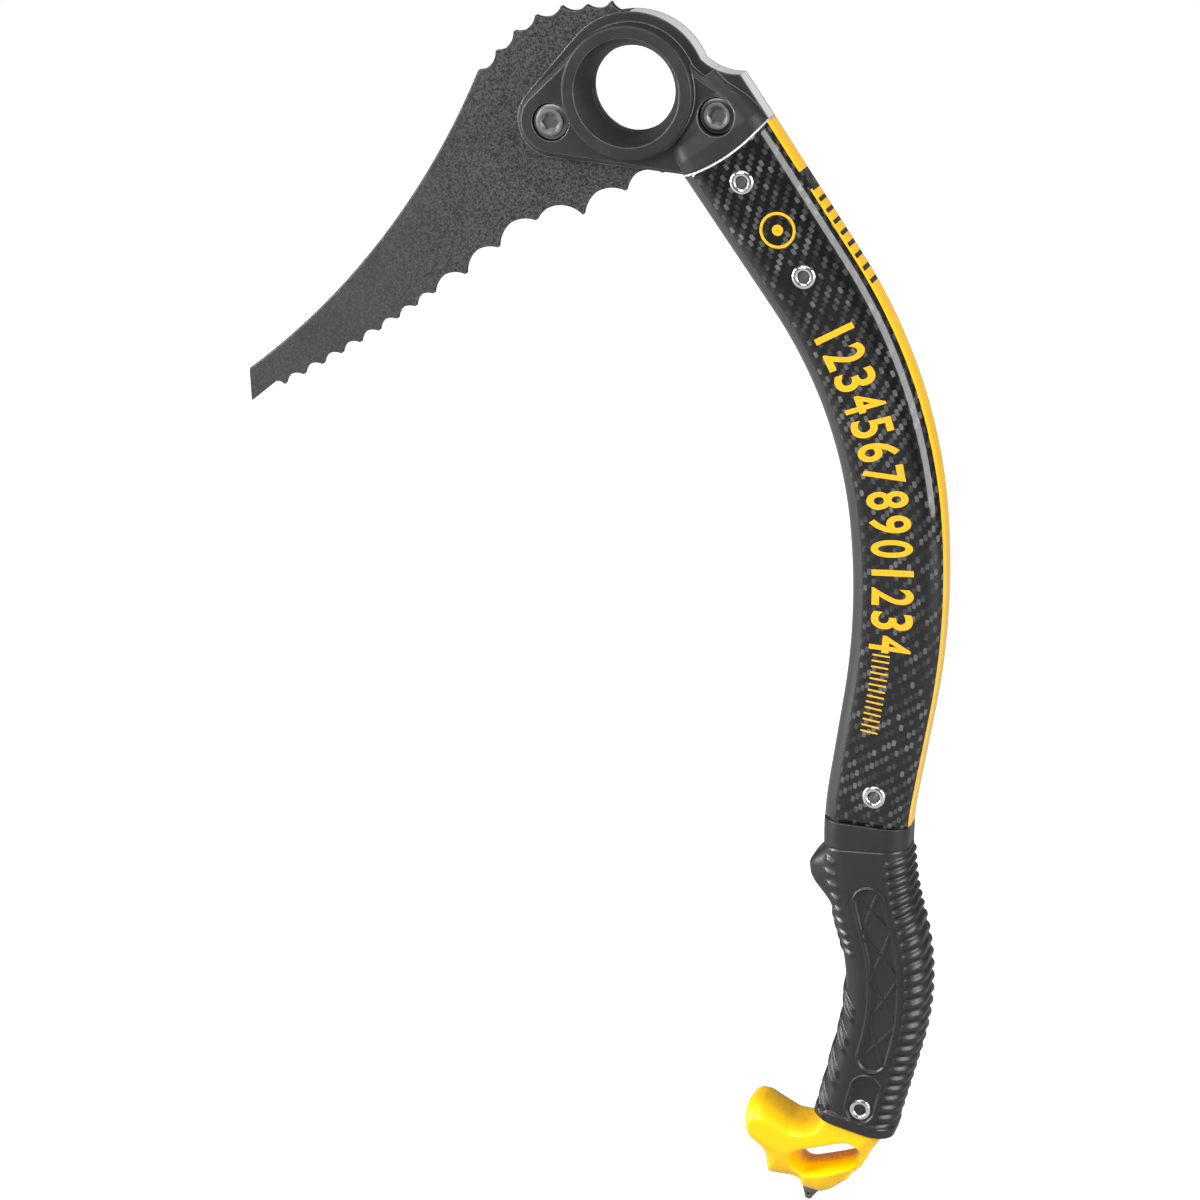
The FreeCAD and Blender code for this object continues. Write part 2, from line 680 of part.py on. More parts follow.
def make_head():
    body = new_body("head")
    spine = head_outline(body, "spine_outline", 0.0, 0.0)
    pad(body, "spine", spine, "sizes.spine_width")
    ledge, edge, bevel = size("spine_ledge"), size("cheek_ledge"), size("cheek_bevel")
    half = size("cheek_width") / 2
    flats = []
    for name, height, more in (("front", half, bevel), ("front_bevel", half - bevel, 0.0),
                               ("back_bevel", bevel - half, 0.0), ("back", -half, bevel)):
        flats.append(head_outline(body, f"cheek_{name}", ledge + more, edge + more, height))
    doc.recompute()
    cheeks = body.newObject("PartDesign::AdditiveLoft", "head_cheeks")
    cheeks.Profile = flats[0]
    cheeks.Sections = flats[1:]
    cheeks.Ruled = True
    doc.recompute()

    past = size("mouth_bow") + size("collar_past")
    low = section_at(body, "collar_low", past, "sizes.shaft_top_width", "sizes.shaft_top_depth",
                     "sizes.shaft_top_corner")
    rises = [section_at(body, "collar_full", -size("collar_full_at"), "sizes.shaft_top_width",
                        "sizes.shaft_top_depth", "sizes.shaft_top_corner")]
    for number, share in enumerate((0.35, 0.7, 1.0), 1):
        at = -size("collar_full_at") - share * (size("collar_length") - size("collar_full_at"))
        fall = (1 - math.cos(math.pi * share)) / 2
        sides = [f"sizes.shaft_top_{side} - {fall} * (sizes.shaft_top_{side} - sizes.collar_top_{side})"
                 for side in ("width", "depth", "corner")]
        rises.append(section_at(body, f"collar_rise{number}", at, *sides))
    doc.recompute()
    collar = body.newObject("PartDesign::AdditiveLoft", "head_collar")
    collar.Profile = low
    collar.Sections = rises
    collar.Ruled = True
    doc.recompute()
    beyond = sketch_on(body, "mouth_sketch", "XZ_Plane")
    low_mouth, mid_mouth, high_mouth = mouth_arc(0.0)
    far = size("shaft_top_width")
    draw(beyond, low_mouth, [(mid_mouth, high_mouth), (beside(0, far),), (beside(0, far, far),),
                             (beside(0, -far, far),), (beside(0, -far),), (low_mouth,)])
    cut_through(body, "mouth", beyond)

    boss = sketch_on(body, "boss_sketch", "XY_Plane")
    boss.AttachmentOffset = FreeCAD.Placement(V(0, 0, 0), FreeCAD.Rotation(V(0, 0, 1), 90))
    outer, face = size("boss_radius"), size("boss_width") / 2
    inner, soft = size("eye_mouth_radius"), size("boss_edge")
    front_soft, back_soft = (-face + soft, outer - soft), (face - soft, outer - soft)
    draw(boss, (-face, 0), [((-face, outer - soft),),
                            (polar(front_soft, soft, 135), (-face + soft, outer)),
                            ((face - soft, outer),),
                            (polar(back_soft, soft, 45), (face, outer - soft)),
                            ((face, 0),), ((-face, 0),)])
    turn_solid(body, "PartDesign::Revolution", "boss", boss)

    root, end, solid = size("tang_root"), size("tang_length"), size("tang_solid")
    path = path_sketch(body, "tang_path", -root, end)
    around = "sizes.shaft_wall + sizes.tang_gap"
    outside = section_at(body, "tang_section", -root, *shaft_section(0, around))
    outside_end = section_at(body, "tang_end_section", end, *shaft_section(end, around))
    sweep(body, "PartDesign::AdditivePipe", "tang", path, outside, outside_end)
    hollow_path = path_sketch(body, "hollow_path", solid, end)
    inset = "sizes.shaft_wall + sizes.tang_gap + sizes.tang_wall + sizes.tang_hollow_gap"
    hollow = section_at(body, "hollow_section", solid, *shaft_section(solid, inset))
    hollow_end = section_at(body, "hollow_end_section", end, *shaft_section(end, inset))
    sweep(body, "PartDesign::SubtractivePipe", "hollow", hollow_path, hollow, hollow_end)

    bore = sketch_on(body, "eye_sketch", "XY_Plane")
    bore.AttachmentOffset = FreeCAD.Placement(V(0, 0, 0), FreeCAD.Rotation(V(0, 0, 1), 90))
    throat, radius = size("eye_throat") / 2, size("eye_radius")
    past = face + size("overrun")
    flare_middle = (throat + (face - throat) * 0.5, radius + (inner - radius) * size("eye_flare"))
    draw(bore, (-past, 0), [((past, 0),), ((past, inner),), ((face, inner),), (flare_middle, (throat, radius)),
                            ((-throat, radius),), ((-flare_middle[0], flare_middle[1]), (-face, inner)),
                            ((-past, inner),), ((-past, 0),)])
    turn_solid(body, "PartDesign::Groove", "eye", bore)

    slot = sketch_on(body, "slot_sketch", "XZ_Plane")
    gap = size("pick_gap")
    inner_edge, moves = pick_rear(gap)
    clear = size("spine_radius") * 2
    foot = (moves[-1][0][0], -clear)
    draw(slot, inner_edge, moves + [(foot,), ((-clear, -clear),), ((-clear, clear),), ((inner_edge[0], clear),),
                                    (inner_edge,)])
    cut_middle(body, "slot", slot, "sizes.pick_thickness + 2 * sizes.pick_gap")

    face_y = "sizes.boss_width / 2"
    for bolt in ("front", "rear"):
        spot = (f"sizes.{bolt}_bolt_x", f"sizes.{bolt}_bolt_z")
        hole = sketch_on(body, f"{bolt}_hole_sketch", "XZ_Plane")
        circle(hole, *spot, "sizes.bolt_radius + sizes.bolt_hole_gap")
        cut_through(body, f"{bolt}_hole", hole)

        def sink(sketch, spot=spot):
            circle(sketch, *spot, "sizes.bolt_head_radius + sizes.bolt_sink_gap")
        side_cut(body, f"{bolt}_sink", sink, f"-{face_y}", "-(sizes.cheek_width / 2 - sizes.bolt_sink)")

        def nut_recess(sketch, bolt=bolt):
            key = size("nut_key") + 2 * size("nut_gap")
            draw_hexagon(sketch, size(f"{bolt}_bolt_x"), size(f"{bolt}_bolt_z"), key)
        side_cut(body, f"{bolt}_recess", nut_recess, face_y, "sizes.cheek_width / 2 - sizes.nut_sink")
    for rivet in ("head_rivet_upper", "head_rivet_lower"):
        rivet_hole(body, rivet, "sizes.rivet_radius + sizes.rivet_gap")
    return body


# A bolt and its nut: the bolt's head sits in the front cheek and the nut in the rear one

def make_bolt(label, bolt):
    body = new_body(label)
    sketch = sketch_on(body, "profile", "XY_Plane")
    sketch.AttachmentOffset = FreeCAD.Placement(V(0, 0, 0), FreeCAD.Rotation(V(0, 0, 1), 90))
    seat = -(size("cheek_width") / 2 - size("bolt_sink"))
    top = seat - size("bolt_head_height")
    head, shank = size("bolt_head_radius"), size("bolt_radius")
    rim = top + size("bolt_head_crown")
    end = size("cheek_width") / 2
    bevel, flat = size("bolt_tip_bevel"), size("bolt_flat")
    mouth, floor = size("bolt_mouth"), top + size("bolt_mouth_depth")
    crown = bulge((top, flat), (rim, head), -size("bolt_crown_bow"))
    draw(sketch, (floor, 0), [((floor, mouth - size("bolt_mouth_depth")),), ((top, mouth),), ((top, flat),),
                              (crown, (rim, head)), ((seat, head),), ((seat, shank),),
                              ((end - bevel, shank),), ((end, shank - bevel),), ((end, 0),), ((floor, 0),)])
    turn_solid(body, "PartDesign::Revolution", "turned", sketch)

    def socket(profile):
        draw_hexagon(profile, 0.0, 0.0, size("bolt_key"))
    face = "-(sizes.cheek_width / 2 - sizes.bolt_sink + sizes.bolt_head_height)"
    side_cut(body, "socket", socket, face, f"{face} + sizes.bolt_key_depth")
    body.setExpression("Placement.Base.x", f"sizes.{bolt}_bolt_x")
    body.setExpression("Placement.Base.z", f"sizes.{bolt}_bolt_z")
    return body


def make_nut(label, bolt):
    body = new_body(label)
    sketch = sketch_on(body, "hexagon", "XZ_Plane")
    draw_hexagon(sketch, 0.0, 0.0, size("nut_key"))
    pad(body, "block", sketch, "sizes.nut_height")
    hole = sketch_on(body, "thread_sketch", "XZ_Plane")
    circle(hole, "0", "0", "sizes.bolt_radius + sizes.nut_thread_gap")
    cut_through(body, "thread", hole)
    body.setExpression("Placement.Base.x", f"sizes.{bolt}_bolt_x")
    body.setExpression("Placement.Base.z", f"sizes.{bolt}_bolt_z")
    body.setExpression("Placement.Base.y", "sizes.cheek_width / 2 - sizes.nut_sink + sizes.nut_height / 2")
    return body


# The shaft: a tapered carbon tube along the curved line, its top edge bowed like the head's mouth

def make_shaft():
    body = new_body("shaft")
    end = grip_start()
    path = path_sketch(body, "path", 0, end)
    top = section_at(body, "top_section", 0, *shaft_section(0, "0"))
    low = section_at(body, "low_section", end, *shaft_section(end, "0"))
    sweep(body, "PartDesign::AdditivePipe", "tube", path, top, low)
    inner_top = section_at(body, "inner_top_section", 0, *shaft_section(0, "sizes.shaft_wall"))
    inner_low = section_at(body, "inner_low_section", end, *shaft_section(end, "sizes.shaft_wall"))
    sweep(body, "PartDesign::SubtractivePipe", "bore", path, inner_top, inner_low)
    above = sketch_on(body, "mouth_sketch", "XZ_Plane")
    low_mouth, mid_mouth, high_mouth = mouth_arc(size("shaft_gap"))
    far = size("shaft_top_width")
    draw(above, low_mouth, [(mid_mouth, high_mouth), (beside(0, far),), (beside(0, far, -far),),
                            (beside(0, -far, -far),), (beside(0, -far),), (low_mouth,)])
    cut_through(body, "mouth", above)
    for rivet in ("head_rivet_upper", "head_rivet_lower", "shaft_rivet"):
        rivet_hole(body, rivet, "sizes.rivet_radius + sizes.rivet_gap")
    return body


# The alloy tube that plugs into the shaft's lower end and carries the grip

def core_outside():
    return shaft_section(grip_start(), "sizes.shaft_wall + sizes.core_gap")


def core_inside(less="0"):
    return shaft_section(grip_start(), f"sizes.shaft_wall + sizes.core_gap + sizes.core_wall + {less}")


def make_core():
    body = new_body("handle_core")
    start = grip_start() - size("core_overlap")
    path = path_sketch(body, "path", start, line_length())
    outside = section_at(body, "outside_section", start, *core_outside())
    sweep(body, "PartDesign::AdditivePipe", "tube", path, outside)
    inside = section_at(body, "inside_section", start, *core_inside())
    sweep(body, "PartDesign::SubtractivePipe", "bore", path, inside)
    for rivet in ("shaft_rivet", "pommel_rivet"):
        rivet_hole(body, rivet, "sizes.rivet_radius + sizes.rivet_gap")
    return body


# The rubber grip with its finger stop, its flared lip and the sinks for the last rivet

def make_grip():
    body = new_body("grip")
    start, end = grip_start() + size("grip_gap"), line_length()
    path = path_sketch(body, "path", start, end)
    top = section_at(body, "top_section", start, "sizes.grip_top_width", "sizes.grip_top_depth",
                     "sizes.grip_corner")
    low = section_at(body, "low_section", end, "sizes.grip_low_width", "sizes.grip_low_depth",
                     "sizes.grip_corner")
    sweep(body, "PartDesign::AdditivePipe", "sleeve", path, top, low)
    lip_path = path_sketch(body, "lip_path", end - size("lip_length"), end)
    lip = section_at(body, "lip_section", end - size("lip_length"),
                     "sizes.grip_low_width + 2 * sizes.lip_proud", "sizes.grip_low_depth + 2 * sizes.lip_proud",
                     "sizes.grip_corner + sizes.lip_proud")
    sweep(body, "PartDesign::AdditivePipe", "lip", lip_path, lip)
    stop = sketch_on(body, "trigger_sketch", "XZ_Plane")
    at = grip_start() + size("trigger_at")
    half, reach = size("trigger_span") / 2, size("trigger_reach")
    inside = size("grip_top_width") / 2 - size("trigger_root")
    upper, lower = beside(at - half * size("trigger_rise"), -inside), beside(at + half, -inside)
    shy = size("trigger_nose") - reach
    crest_one, crest_two = beside(at - size("trigger_nose_up"), shy), beside(at + size("trigger_nose_down"), shy)
    crest = beside(at - (size("trigger_nose_up") - size("trigger_nose_down")) / 2, -reach)
    deep_root = beside(at, -inside / 2)
    draw(stop, upper, [(bulge(upper, crest_one, -size("trigger_hollow")), crest_one), (crest, crest_two),
                       (bulge(crest_two, lower, -size("trigger_sweep")), lower), (deep_root,), (upper,)])
    pad(body, "trigger", stop, "sizes.trigger_width")
    past = size("overrun")
    bore_path = path_sketch(body, "bore_path", start - past, end + past)
    wide, deep, corner = core_outside()
    bore = section_at(body, "bore_section", start - past, f"{wide} + 2 * sizes.grip_gap",
                      f"{deep} + 2 * sizes.grip_gap", f"{corner} + sizes.grip_gap")
    sweep(body, "PartDesign::SubtractivePipe", "bore", bore_path, bore)
    rivet_hole(body, "pommel_rivet", "sizes.rivet_radius + sizes.rivet_gap")
    x, z = rivet_place("pommel_rivet")
    for side, sign in (("front", "-"), ("back", "")):
        def sink(sketch):
            draw_round(sketch, x, z, "sizes.grip_pocket_radius")
        far = f"{sign}(sizes.grip_low_depth / 2 + sizes.lip_proud)"
        floor = f"{sign}(sizes.grip_low_depth / 2 - sizes.grip_pocket_depth)"
        side_cut(body, f"{side}_sink", sink, far, floor)
    return body


# Tubular rivets: a barrel through both walls with a rolled flange at each end

def make_rivet(label, half_span, x, z):
    body = new_body(label)
    sketch = sketch_on(body, "profile", "XY_Plane")
    sketch.AttachmentOffset = FreeCAD.Placement(V(0, 0, 0), FreeCAD.Rotation(V(0, 0, 1), 90))
    barrel, bore = size("rivet_radius"), size("rivet_bore")
    flange, height = size("rivet_flange"), size("rivet_flange_height")
    seat = half_span + size("rivet_lift")
    top = seat + height
    roll = (flange - bore) / 2
    draw(sketch, (-seat, bore), [
        ((-top, bore + roll), (-seat, flange)),
        ((-seat, barrel),), ((seat, barrel),), ((seat, flange),),
        ((top, bore + roll), (seat, bore)),
        ((-seat, bore),)])
    turn_solid(body, "PartDesign::Revolution", "turned", sketch)
    body.Placement = FreeCAD.Placement(V(x, 0, z), FreeCAD.Rotation())
    return body


def make_spacer():
    body = new_body("shaft_spacer")
    sketch = sketch_on(body, "ring", "XZ_Plane")
    circle(sketch, "0", "0", "sizes.spacer_radius")
    circle(sketch, "0", "0", "sizes.rivet_radius + sizes.rivet_gap")
    inset = "2 * (sizes.shaft_wall + sizes.core_gap + sizes.core_wall + sizes.spacer_gap)"
    pad(body, "tube", sketch, f"sizes.shaft_low_depth - {inset}")
    x, z = rivet_place("shaft_rivet")
    body.Placement = FreeCAD.Placement(V(x, 0, z), FreeCAD.Rotation())
    return body


# The pommel: a hand rest with a horn towards the fingers, a keel with a leash hole, and a tang in the core

def pommel_rib(body, number, share):
    """The pommel seen from the side at a share of its half width: full in the middle, drawn in to the rims."""
    place = FreeCAD.Placement(V(0, 0, share * size("pommel_half")), FreeCAD.Rotation())
    sketch = sketch_on(body, f"rib{number}", "XZ_Plane", place)
    drawn_in = share ** 4
    neck = size("neck_half") - drawn_in * size("neck_draw")
    end = line_length() + size("pommel_gap")
    spots = [beside(end, -neck)]
    for index in range(1, len(pommel_points) + 1):
        middle, rim = pommel_point(index, "middle"), pommel_point(index, "rim")
        x, z = (middle[axis] + drawn_in * (rim[axis] - middle[axis]) for axis in (0, 1))
        spots.append(from_grip_end(x, z))
    low, high = spots[-1], beside(end + size("back_top"), neck)
    here = low
    for tooth in range(1, back_teeth + 1):
        share_up = tooth / back_teeth
        crest = tuple(low[axis] + share_up * (high[axis] - low[axis]) for axis in (0, 1))
        spots += [bulge(here, crest, size("back_tooth")), crest]
        here = crest
    spots.append(beside(end, neck))
    draw(sketch, spots[0], [(spot,) for spot in spots[1:] + spots[:1]])
    return sketch


def leash_profile(body, number, height, radius, sink):
    """The leash hole's long round outline at a height along Y, let down by a sink."""
    place = FreeCAD.Placement(V(0, 0, height), FreeCAD.Rotation())
    sketch = sketch_on(body, f"leash{number}", "XZ_Plane", place)
    low = from_grip_end(size("leash_low_x"), size("leash_low_z") - sink)
    high = from_grip_end(size("leash_high_x"), size("leash_high_z") - sink)
    along = angle_of(high[0] - low[0], high[1] - low[1])
    draw(sketch, polar(low, radius, along + 90), [
        (polar(low, radius, along + 180), polar(low, radius, along - 90)),
        (polar(high, radius, along - 90),),
        (polar(high, radius, along), polar(high, radius, along + 90)),
        (polar(low, radius, along + 90),)])
    return sketch


def spike_spot(rise=0.0):
    """X and Z on the spike's axis, at a rise above its seat."""
    return beside(line_length() + size("spike_down") - rise, -size("spike_across"))


def make_pommel():
    body = new_body("pommel")
    shares = (-1.0, -0.92, -0.78, -0.55, 0.0, 0.55, 0.78, 0.92, 1.0)
    ribs = [pommel_rib(body, number, share) for number, share in enumerate(shares, 1)]
    doc.recompute()
    hull = body.newObject("PartDesign::AdditiveLoft", "pommel_hull")
    hull.Profile = ribs[0]
    hull.Sections = ribs[1:]
    doc.recompute()

    end = line_length() + size("pommel_gap")
    tang_path = path_sketch(body, "tang_path", end - size("pommel_tang"), end + size("overrun"))
    wide_tang, deep_tang, corner_tang = core_inside("sizes.core_gap")
    tang = section_at(body, "tang_section", end - size("pommel_tang"), wide_tang, deep_tang, corner_tang)
    sweep(body, "PartDesign::AdditivePipe", "tang", tang_path, tang)

    before = body.Shape.Volume
    throat, flared = size("leash_radius"), size("leash_radius") + size("leash_flare")
    near, far, sink = size("leash_throat"), size("pommel_half") + size("overrun"), size("leash_sink")
    spread = ((-far, flared, sink), (-near, throat, 0.0), (near, throat, 0.0), (far, flared, sink))
    outlines = [leash_profile(body, number, *at) for number, at in enumerate(spread, 1)]
    doc.recompute()
    leash = body.newObject("PartDesign::SubtractiveLoft", "pommel_leash")
    leash.Profile = outlines[0]
    leash.Sections = outlines[1:]
    leash.Ruled = True
    doc.recompute()
    must_shrink(body, "leash", before)
    rivet_hole(body, "pommel_rivet", "sizes.rivet_radius + sizes.rivet_gap")

    x, z = spike_spot(-size("overrun"))
    turn = station(line_length())[2]
    facing = FreeCAD.Rotation(V(0, 1, 0), -turn)
    shank = sketch_on(body, "shank_sketch", "XY_Plane", FreeCAD.Placement(V(x, 0, z), facing))
    circle(shank, "0", "0", "sizes.spike_shank_radius + sizes.spike_gap")
    before = body.Shape.Volume
    socket = body.newObject("PartDesign::Pocket", "pommel_socket")
    socket.Profile = shank
    socket.setExpression("Length", "sizes.spike_shank_length + sizes.spike_gap + sizes.overrun")
    socket.Reversed = True
    doc.recompute()
    must_shrink(body, "socket", before)
    pin = sketch_on(body, "pin_sketch", "XZ_Plane")
    draw_round(pin, *spike_spot(size("spike_pin_rise")), "sizes.spike_pin_radius + sizes.spike_gap")
    cut_middle(body, "pin_hole", pin, "sizes.spike_pin_length + 2 * sizes.spike_gap")
    return body


# The steel spike and the cross pin that holds it, sealed in the keel

def make_spike():
    body = new_body("spike")
    sketch = sketch_on(body, "profile", "XZ_Plane")
    seat = -size("spike_gap")
    shank, top = size("spike_shank_radius"), size("spike_shank_length")
    wide, length = size("spike_radius"), size("spike_length")
    point = size("spike_tip_radius")
    ball = (0.0, point - length)
    draw(sketch, (0, top), [((shank, top),), ((shank, seat),), ((wide, seat),),
                            ((wide, seat - size("spike_rim")),), (polar(ball, point, 0),),
                            (polar(ball, point, -45), polar(ball, point, -90)), ((0, top),)])
    feature = body.newObject("PartDesign::Revolution", "spike_turned")
    feature.Profile = sketch
    feature.ReferenceAxis = (sketch, ["V_Axis"])
    feature.Angle = 360
    doc.recompute()
    holes = sketch_on(body, "pin_sketch", "XZ_Plane")
    circle(holes, "0", "sizes.spike_pin_rise", "sizes.spike_pin_radius + sizes.spike_gap")
    circle(holes, "0", "-sizes.spike_eye_drop", "sizes.spike_eye_radius")
    cut_through(body, "pin_hole", holes)
    x, z = spike_spot()
    turn = station(line_length())[2]
    body.Placement = FreeCAD.Placement(V(x, 0, z), FreeCAD.Rotation(V(0, 1, 0), -turn))
    return body


def make_spike_pin():
    body = new_body("spike_pin")
    sketch = sketch_on(body, "round", "XZ_Plane")
    circle(sketch, "0", "0", "sizes.spike_pin_radius")
    pad(body, "rod", sketch, "sizes.spike_pin_length")
    x, z = spike_spot(size("spike_pin_rise"))
    body.Placement = FreeCAD.Placement(V(x, 0, z), FreeCAD.Rotation())
    return body


makers = [
    make_pick,
    make_head,
    lambda: make_bolt("pick_bolt_front", "front"),
    lambda: make_bolt("pick_bolt_rear", "rear"),
    lambda: make_nut("pick_nut_front", "front"),
    lambda: make_nut("pick_nut_rear", "rear"),
    make_shaft,
    make_core,
    make_grip,
    make_spacer,
    make_pommel,
    make_spike,
    make_spike_pin,
]
pieces = [make() for make in makers]
for rivet in ("head_rivet_upper", "head_rivet_lower", "shaft_rivet"):
    half_span = worth(shaft_section(rivet_at(rivet), "0")[1]) / 2
    pieces.append(make_rivet(rivet, half_span, *rivet_place(rivet)))
sunk = size("grip_low_depth") / 2 - size("grip_pocket_depth")
pieces.append(make_rivet("pommel_rivet", sunk, *rivet_place("pommel_rivet")))
doc.recompute()

for item in doc.Objects:
    if "Invalid" in item.State or "Error" in item.State:
        raise RuntimeError(f"{item.Name} is {item.State}")
os.makedirs("parts", exist_ok=True)
for piece in pieces:
    shape = piece.Shape
    if shape.isNull() or not shape.isValid() or len(shape.Solids) != 1:
        raise RuntimeError(f"{piece.Label} has {len(shape.Solids)} solids, valid {shape.isValid()}")
for piece in pieces:
    piece.Shape.exportStep(f"parts/{piece.Label}.step")
    box = piece.Shape.BoundBox
    spans = ((box.XMin, box.XMax), (box.YMin, box.YMax), (box.ZMin, box.ZMax))
    print(f"{piece.Label:18s} {piece.Shape.Volume / 1000:8.2f} cm3", *(f"{low:7.1f} {high:7.1f}" for low, high in spans))
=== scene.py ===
import bpy
import math
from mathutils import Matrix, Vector


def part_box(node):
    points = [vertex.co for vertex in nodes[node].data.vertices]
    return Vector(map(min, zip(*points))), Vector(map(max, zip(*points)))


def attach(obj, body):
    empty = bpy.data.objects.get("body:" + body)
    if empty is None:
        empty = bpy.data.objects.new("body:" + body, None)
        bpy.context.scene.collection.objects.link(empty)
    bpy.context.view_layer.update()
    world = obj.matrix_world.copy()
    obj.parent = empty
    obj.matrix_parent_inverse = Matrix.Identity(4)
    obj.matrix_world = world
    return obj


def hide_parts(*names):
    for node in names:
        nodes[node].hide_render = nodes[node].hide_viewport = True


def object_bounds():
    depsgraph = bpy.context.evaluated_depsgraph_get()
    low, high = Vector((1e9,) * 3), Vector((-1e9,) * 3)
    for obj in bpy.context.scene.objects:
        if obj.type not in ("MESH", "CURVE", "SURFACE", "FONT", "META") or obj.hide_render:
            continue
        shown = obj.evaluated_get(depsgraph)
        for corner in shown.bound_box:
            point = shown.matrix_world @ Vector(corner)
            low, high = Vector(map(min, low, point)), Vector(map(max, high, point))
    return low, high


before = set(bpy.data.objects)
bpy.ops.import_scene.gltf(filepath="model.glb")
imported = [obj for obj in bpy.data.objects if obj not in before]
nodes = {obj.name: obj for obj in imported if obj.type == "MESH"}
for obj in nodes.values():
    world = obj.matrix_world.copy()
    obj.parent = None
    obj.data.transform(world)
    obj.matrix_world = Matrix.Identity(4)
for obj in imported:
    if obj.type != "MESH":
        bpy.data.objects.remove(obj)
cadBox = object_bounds()
mm = 0.001
print("frame loaded")

# camera at the photograph's angle, set back along one line from the tool's middle
cameraPlace = {"azimuth": 16.0, "elevation": 17.0, "distance": 1.6, "lens": 117.7, "sensor": 36.0,
               "target": (-0.01445, 0.0, -0.21085)}
turnAround = math.radians(cameraPlace["azimuth"])
tiltUp = math.radians(cameraPlace["elevation"])
backWay = Vector((math.sin(turnAround) * math.cos(tiltUp), -math.cos(turnAround) * math.cos(tiltUp),
                  math.sin(tiltUp)))
cameraData = bpy.data.cameras.new("photoCamera")
cameraData.lens = cameraPlace["lens"]
cameraData.sensor_width = cameraPlace["sensor"]
cameraData.clip_start = 0.05
photoCamera = bpy.data.objects.new("photoCamera", cameraData)
photoCamera.location = Vector(cameraPlace["target"]) + backWay * cameraPlace["distance"]
photoCamera.rotation_euler = backWay.to_track_quat("Z", "Y").to_euler()
bpy.context.scene.collection.objects.link(photoCamera)
bpy.context.scene.camera = photoCamera
bpy.context.scene.view_settings.view_transform = "Standard"

# the line that shaft and grip follow: metres and degrees, a bend turns towards +X where it is positive
toolLine = {
    "mouth": (0.0377, -0.0205),
    "lean": 35.0,
    "legs": [("run", 0.063, 0), ("bend", 0.200, -29), ("bend", 0.296, -15), ("run", 0.037, 0),
             ("bend", 0.127, 26), ("bend", 0.095, -31), ("run", 0.0395, 0)],
}


def legLength(leg):
    kind, value, angle = leg
    return value if kind == "run" else value * math.radians(abs(angle))


lineLength = sum(legLength(leg) for leg in toolLine["legs"])


def stepAlong(place, leg, distance):
    x, z, lean = place
    kind, value, angle = leg
    if kind == "run":
        return x + math.sin(lean) * distance, z - math.cos(lean) * distance, lean
    side = 1 if angle > 0 else -1
    swung = lean + side * distance / value
    return (x + side * value * (math.cos(lean) - math.cos(swung)),
            z + side * value * (math.sin(lean) - math.sin(swung)), swung)


# x, z and lean of the line at a distance from the head's mouth
def station(at):
    place = (*toolLine["mouth"], math.radians(toolLine["lean"]))
    left = at
    for leg in toolLine["legs"]:
        length = legLength(leg)
        if left <= length or leg is toolLine["legs"][-1]:
            return stepAlong(place, leg, left)
        place = stepAlong(place, leg, length)
        left -= length


# a point beside the line; lift moves it up along the line
def onLine(at, across, y=0.0, lift=0.0):
    x, z, lean = station(at)
    return Vector((x + across * math.cos(lean) - lift * math.sin(lean), y,
                   z + across * math.sin(lean) + lift * math.cos(lean)))


# a maths node whose inputs are sockets or numbers
def calc(tree, operation, first, second=None):
    made = tree.nodes.new("ShaderNodeMath")
    made.operation = operation
    for slot, value in enumerate((first, second)):
        if value is None:
            continue
        if isinstance(value, (int, float)):
            made.inputs[slot].default_value = value
        else:
            tree.links.new(value, made.inputs[slot])
    return made.outputs[0]


def product(tree, first, *others):
    for other in others:
        first = calc(tree, "MULTIPLY", first, other)
    return first


def apartOf(tree, vector):
    made = tree.nodes.new("ShaderNodeSeparateXYZ")
    tree.links.new(vector, made.inputs[0])
    return made.outputs


# colour between two by a share
def rampMix(tree, share, dark, light):
    made = tree.nodes.new("ShaderNodeMix")
    made.data_type = "RGBA"
    tree.links.new(share, made.inputs["Factor"])
    for key, value in (("A", dark), ("B", light)):
        socket = [s for s in made.inputs if s.name == key and s.type == "RGBA"][0]
        if isinstance(value, tuple):
            socket.default_value = (*value, 1.0)
        else:
            tree.links.new(value, socket)
    return [s for s in made.outputs if s.type == "RGBA"][0]


def ranged(tree, value, low, high, newLow, newHigh, smooth=False):
    made = tree.nodes.new("ShaderNodeMapRange")
    if smooth:
        made.interpolation_type = "SMOOTHSTEP"
    tree.links.new(value, made.inputs["Value"])
    for key, number in (("From Min", low), ("From Max", high), ("To Min", newLow), ("To Max", newHigh)):
        made.inputs[key].default_value = number
    return made.outputs[0]


# a noise mostly lies between 0.3 and 0.7: that part of it stretched to a range
def spread(tree, value, low, high):
    return ranged(tree, value, 0.3, 0.7, low, high)


def noise(tree, where, scale, detail, rough):
    made = tree.nodes.new("ShaderNodeTexNoise")
    tree.links.new(where, made.inputs["Vector"])
    made.inputs["Scale"].default_value = scale
    made.inputs["Detail"].default_value = detail
    made.inputs["Roughness"].default_value = rough
    return made.outputs["Fac"]


def newMaterial(name, metallic=0.0, roughness=0.5, ior=1.45, coat=0.0, coatRoughness=0.03):
    material = bpy.data.materials.new(name)
    material.use_nodes = True
    shader = material.node_tree.nodes["Principled BSDF"]
    shader.inputs["Metallic"].default_value = metallic
    shader.inputs["Roughness"].default_value = roughness
    shader.inputs["IOR"].default_value = ior
    shader.inputs["Coat Weight"].default_value = coat
    shader.inputs["Coat Roughness"].default_value = coatRoughness
    return material, material.node_tree, shader


# links a value to one of the shader's inputs
def give(shader, label, value):
    shader.id_data.links.new(value, shader.inputs[label])


def objectPlace(tree):
    return tree.nodes.new("ShaderNodeTexCoord").outputs["Object"]


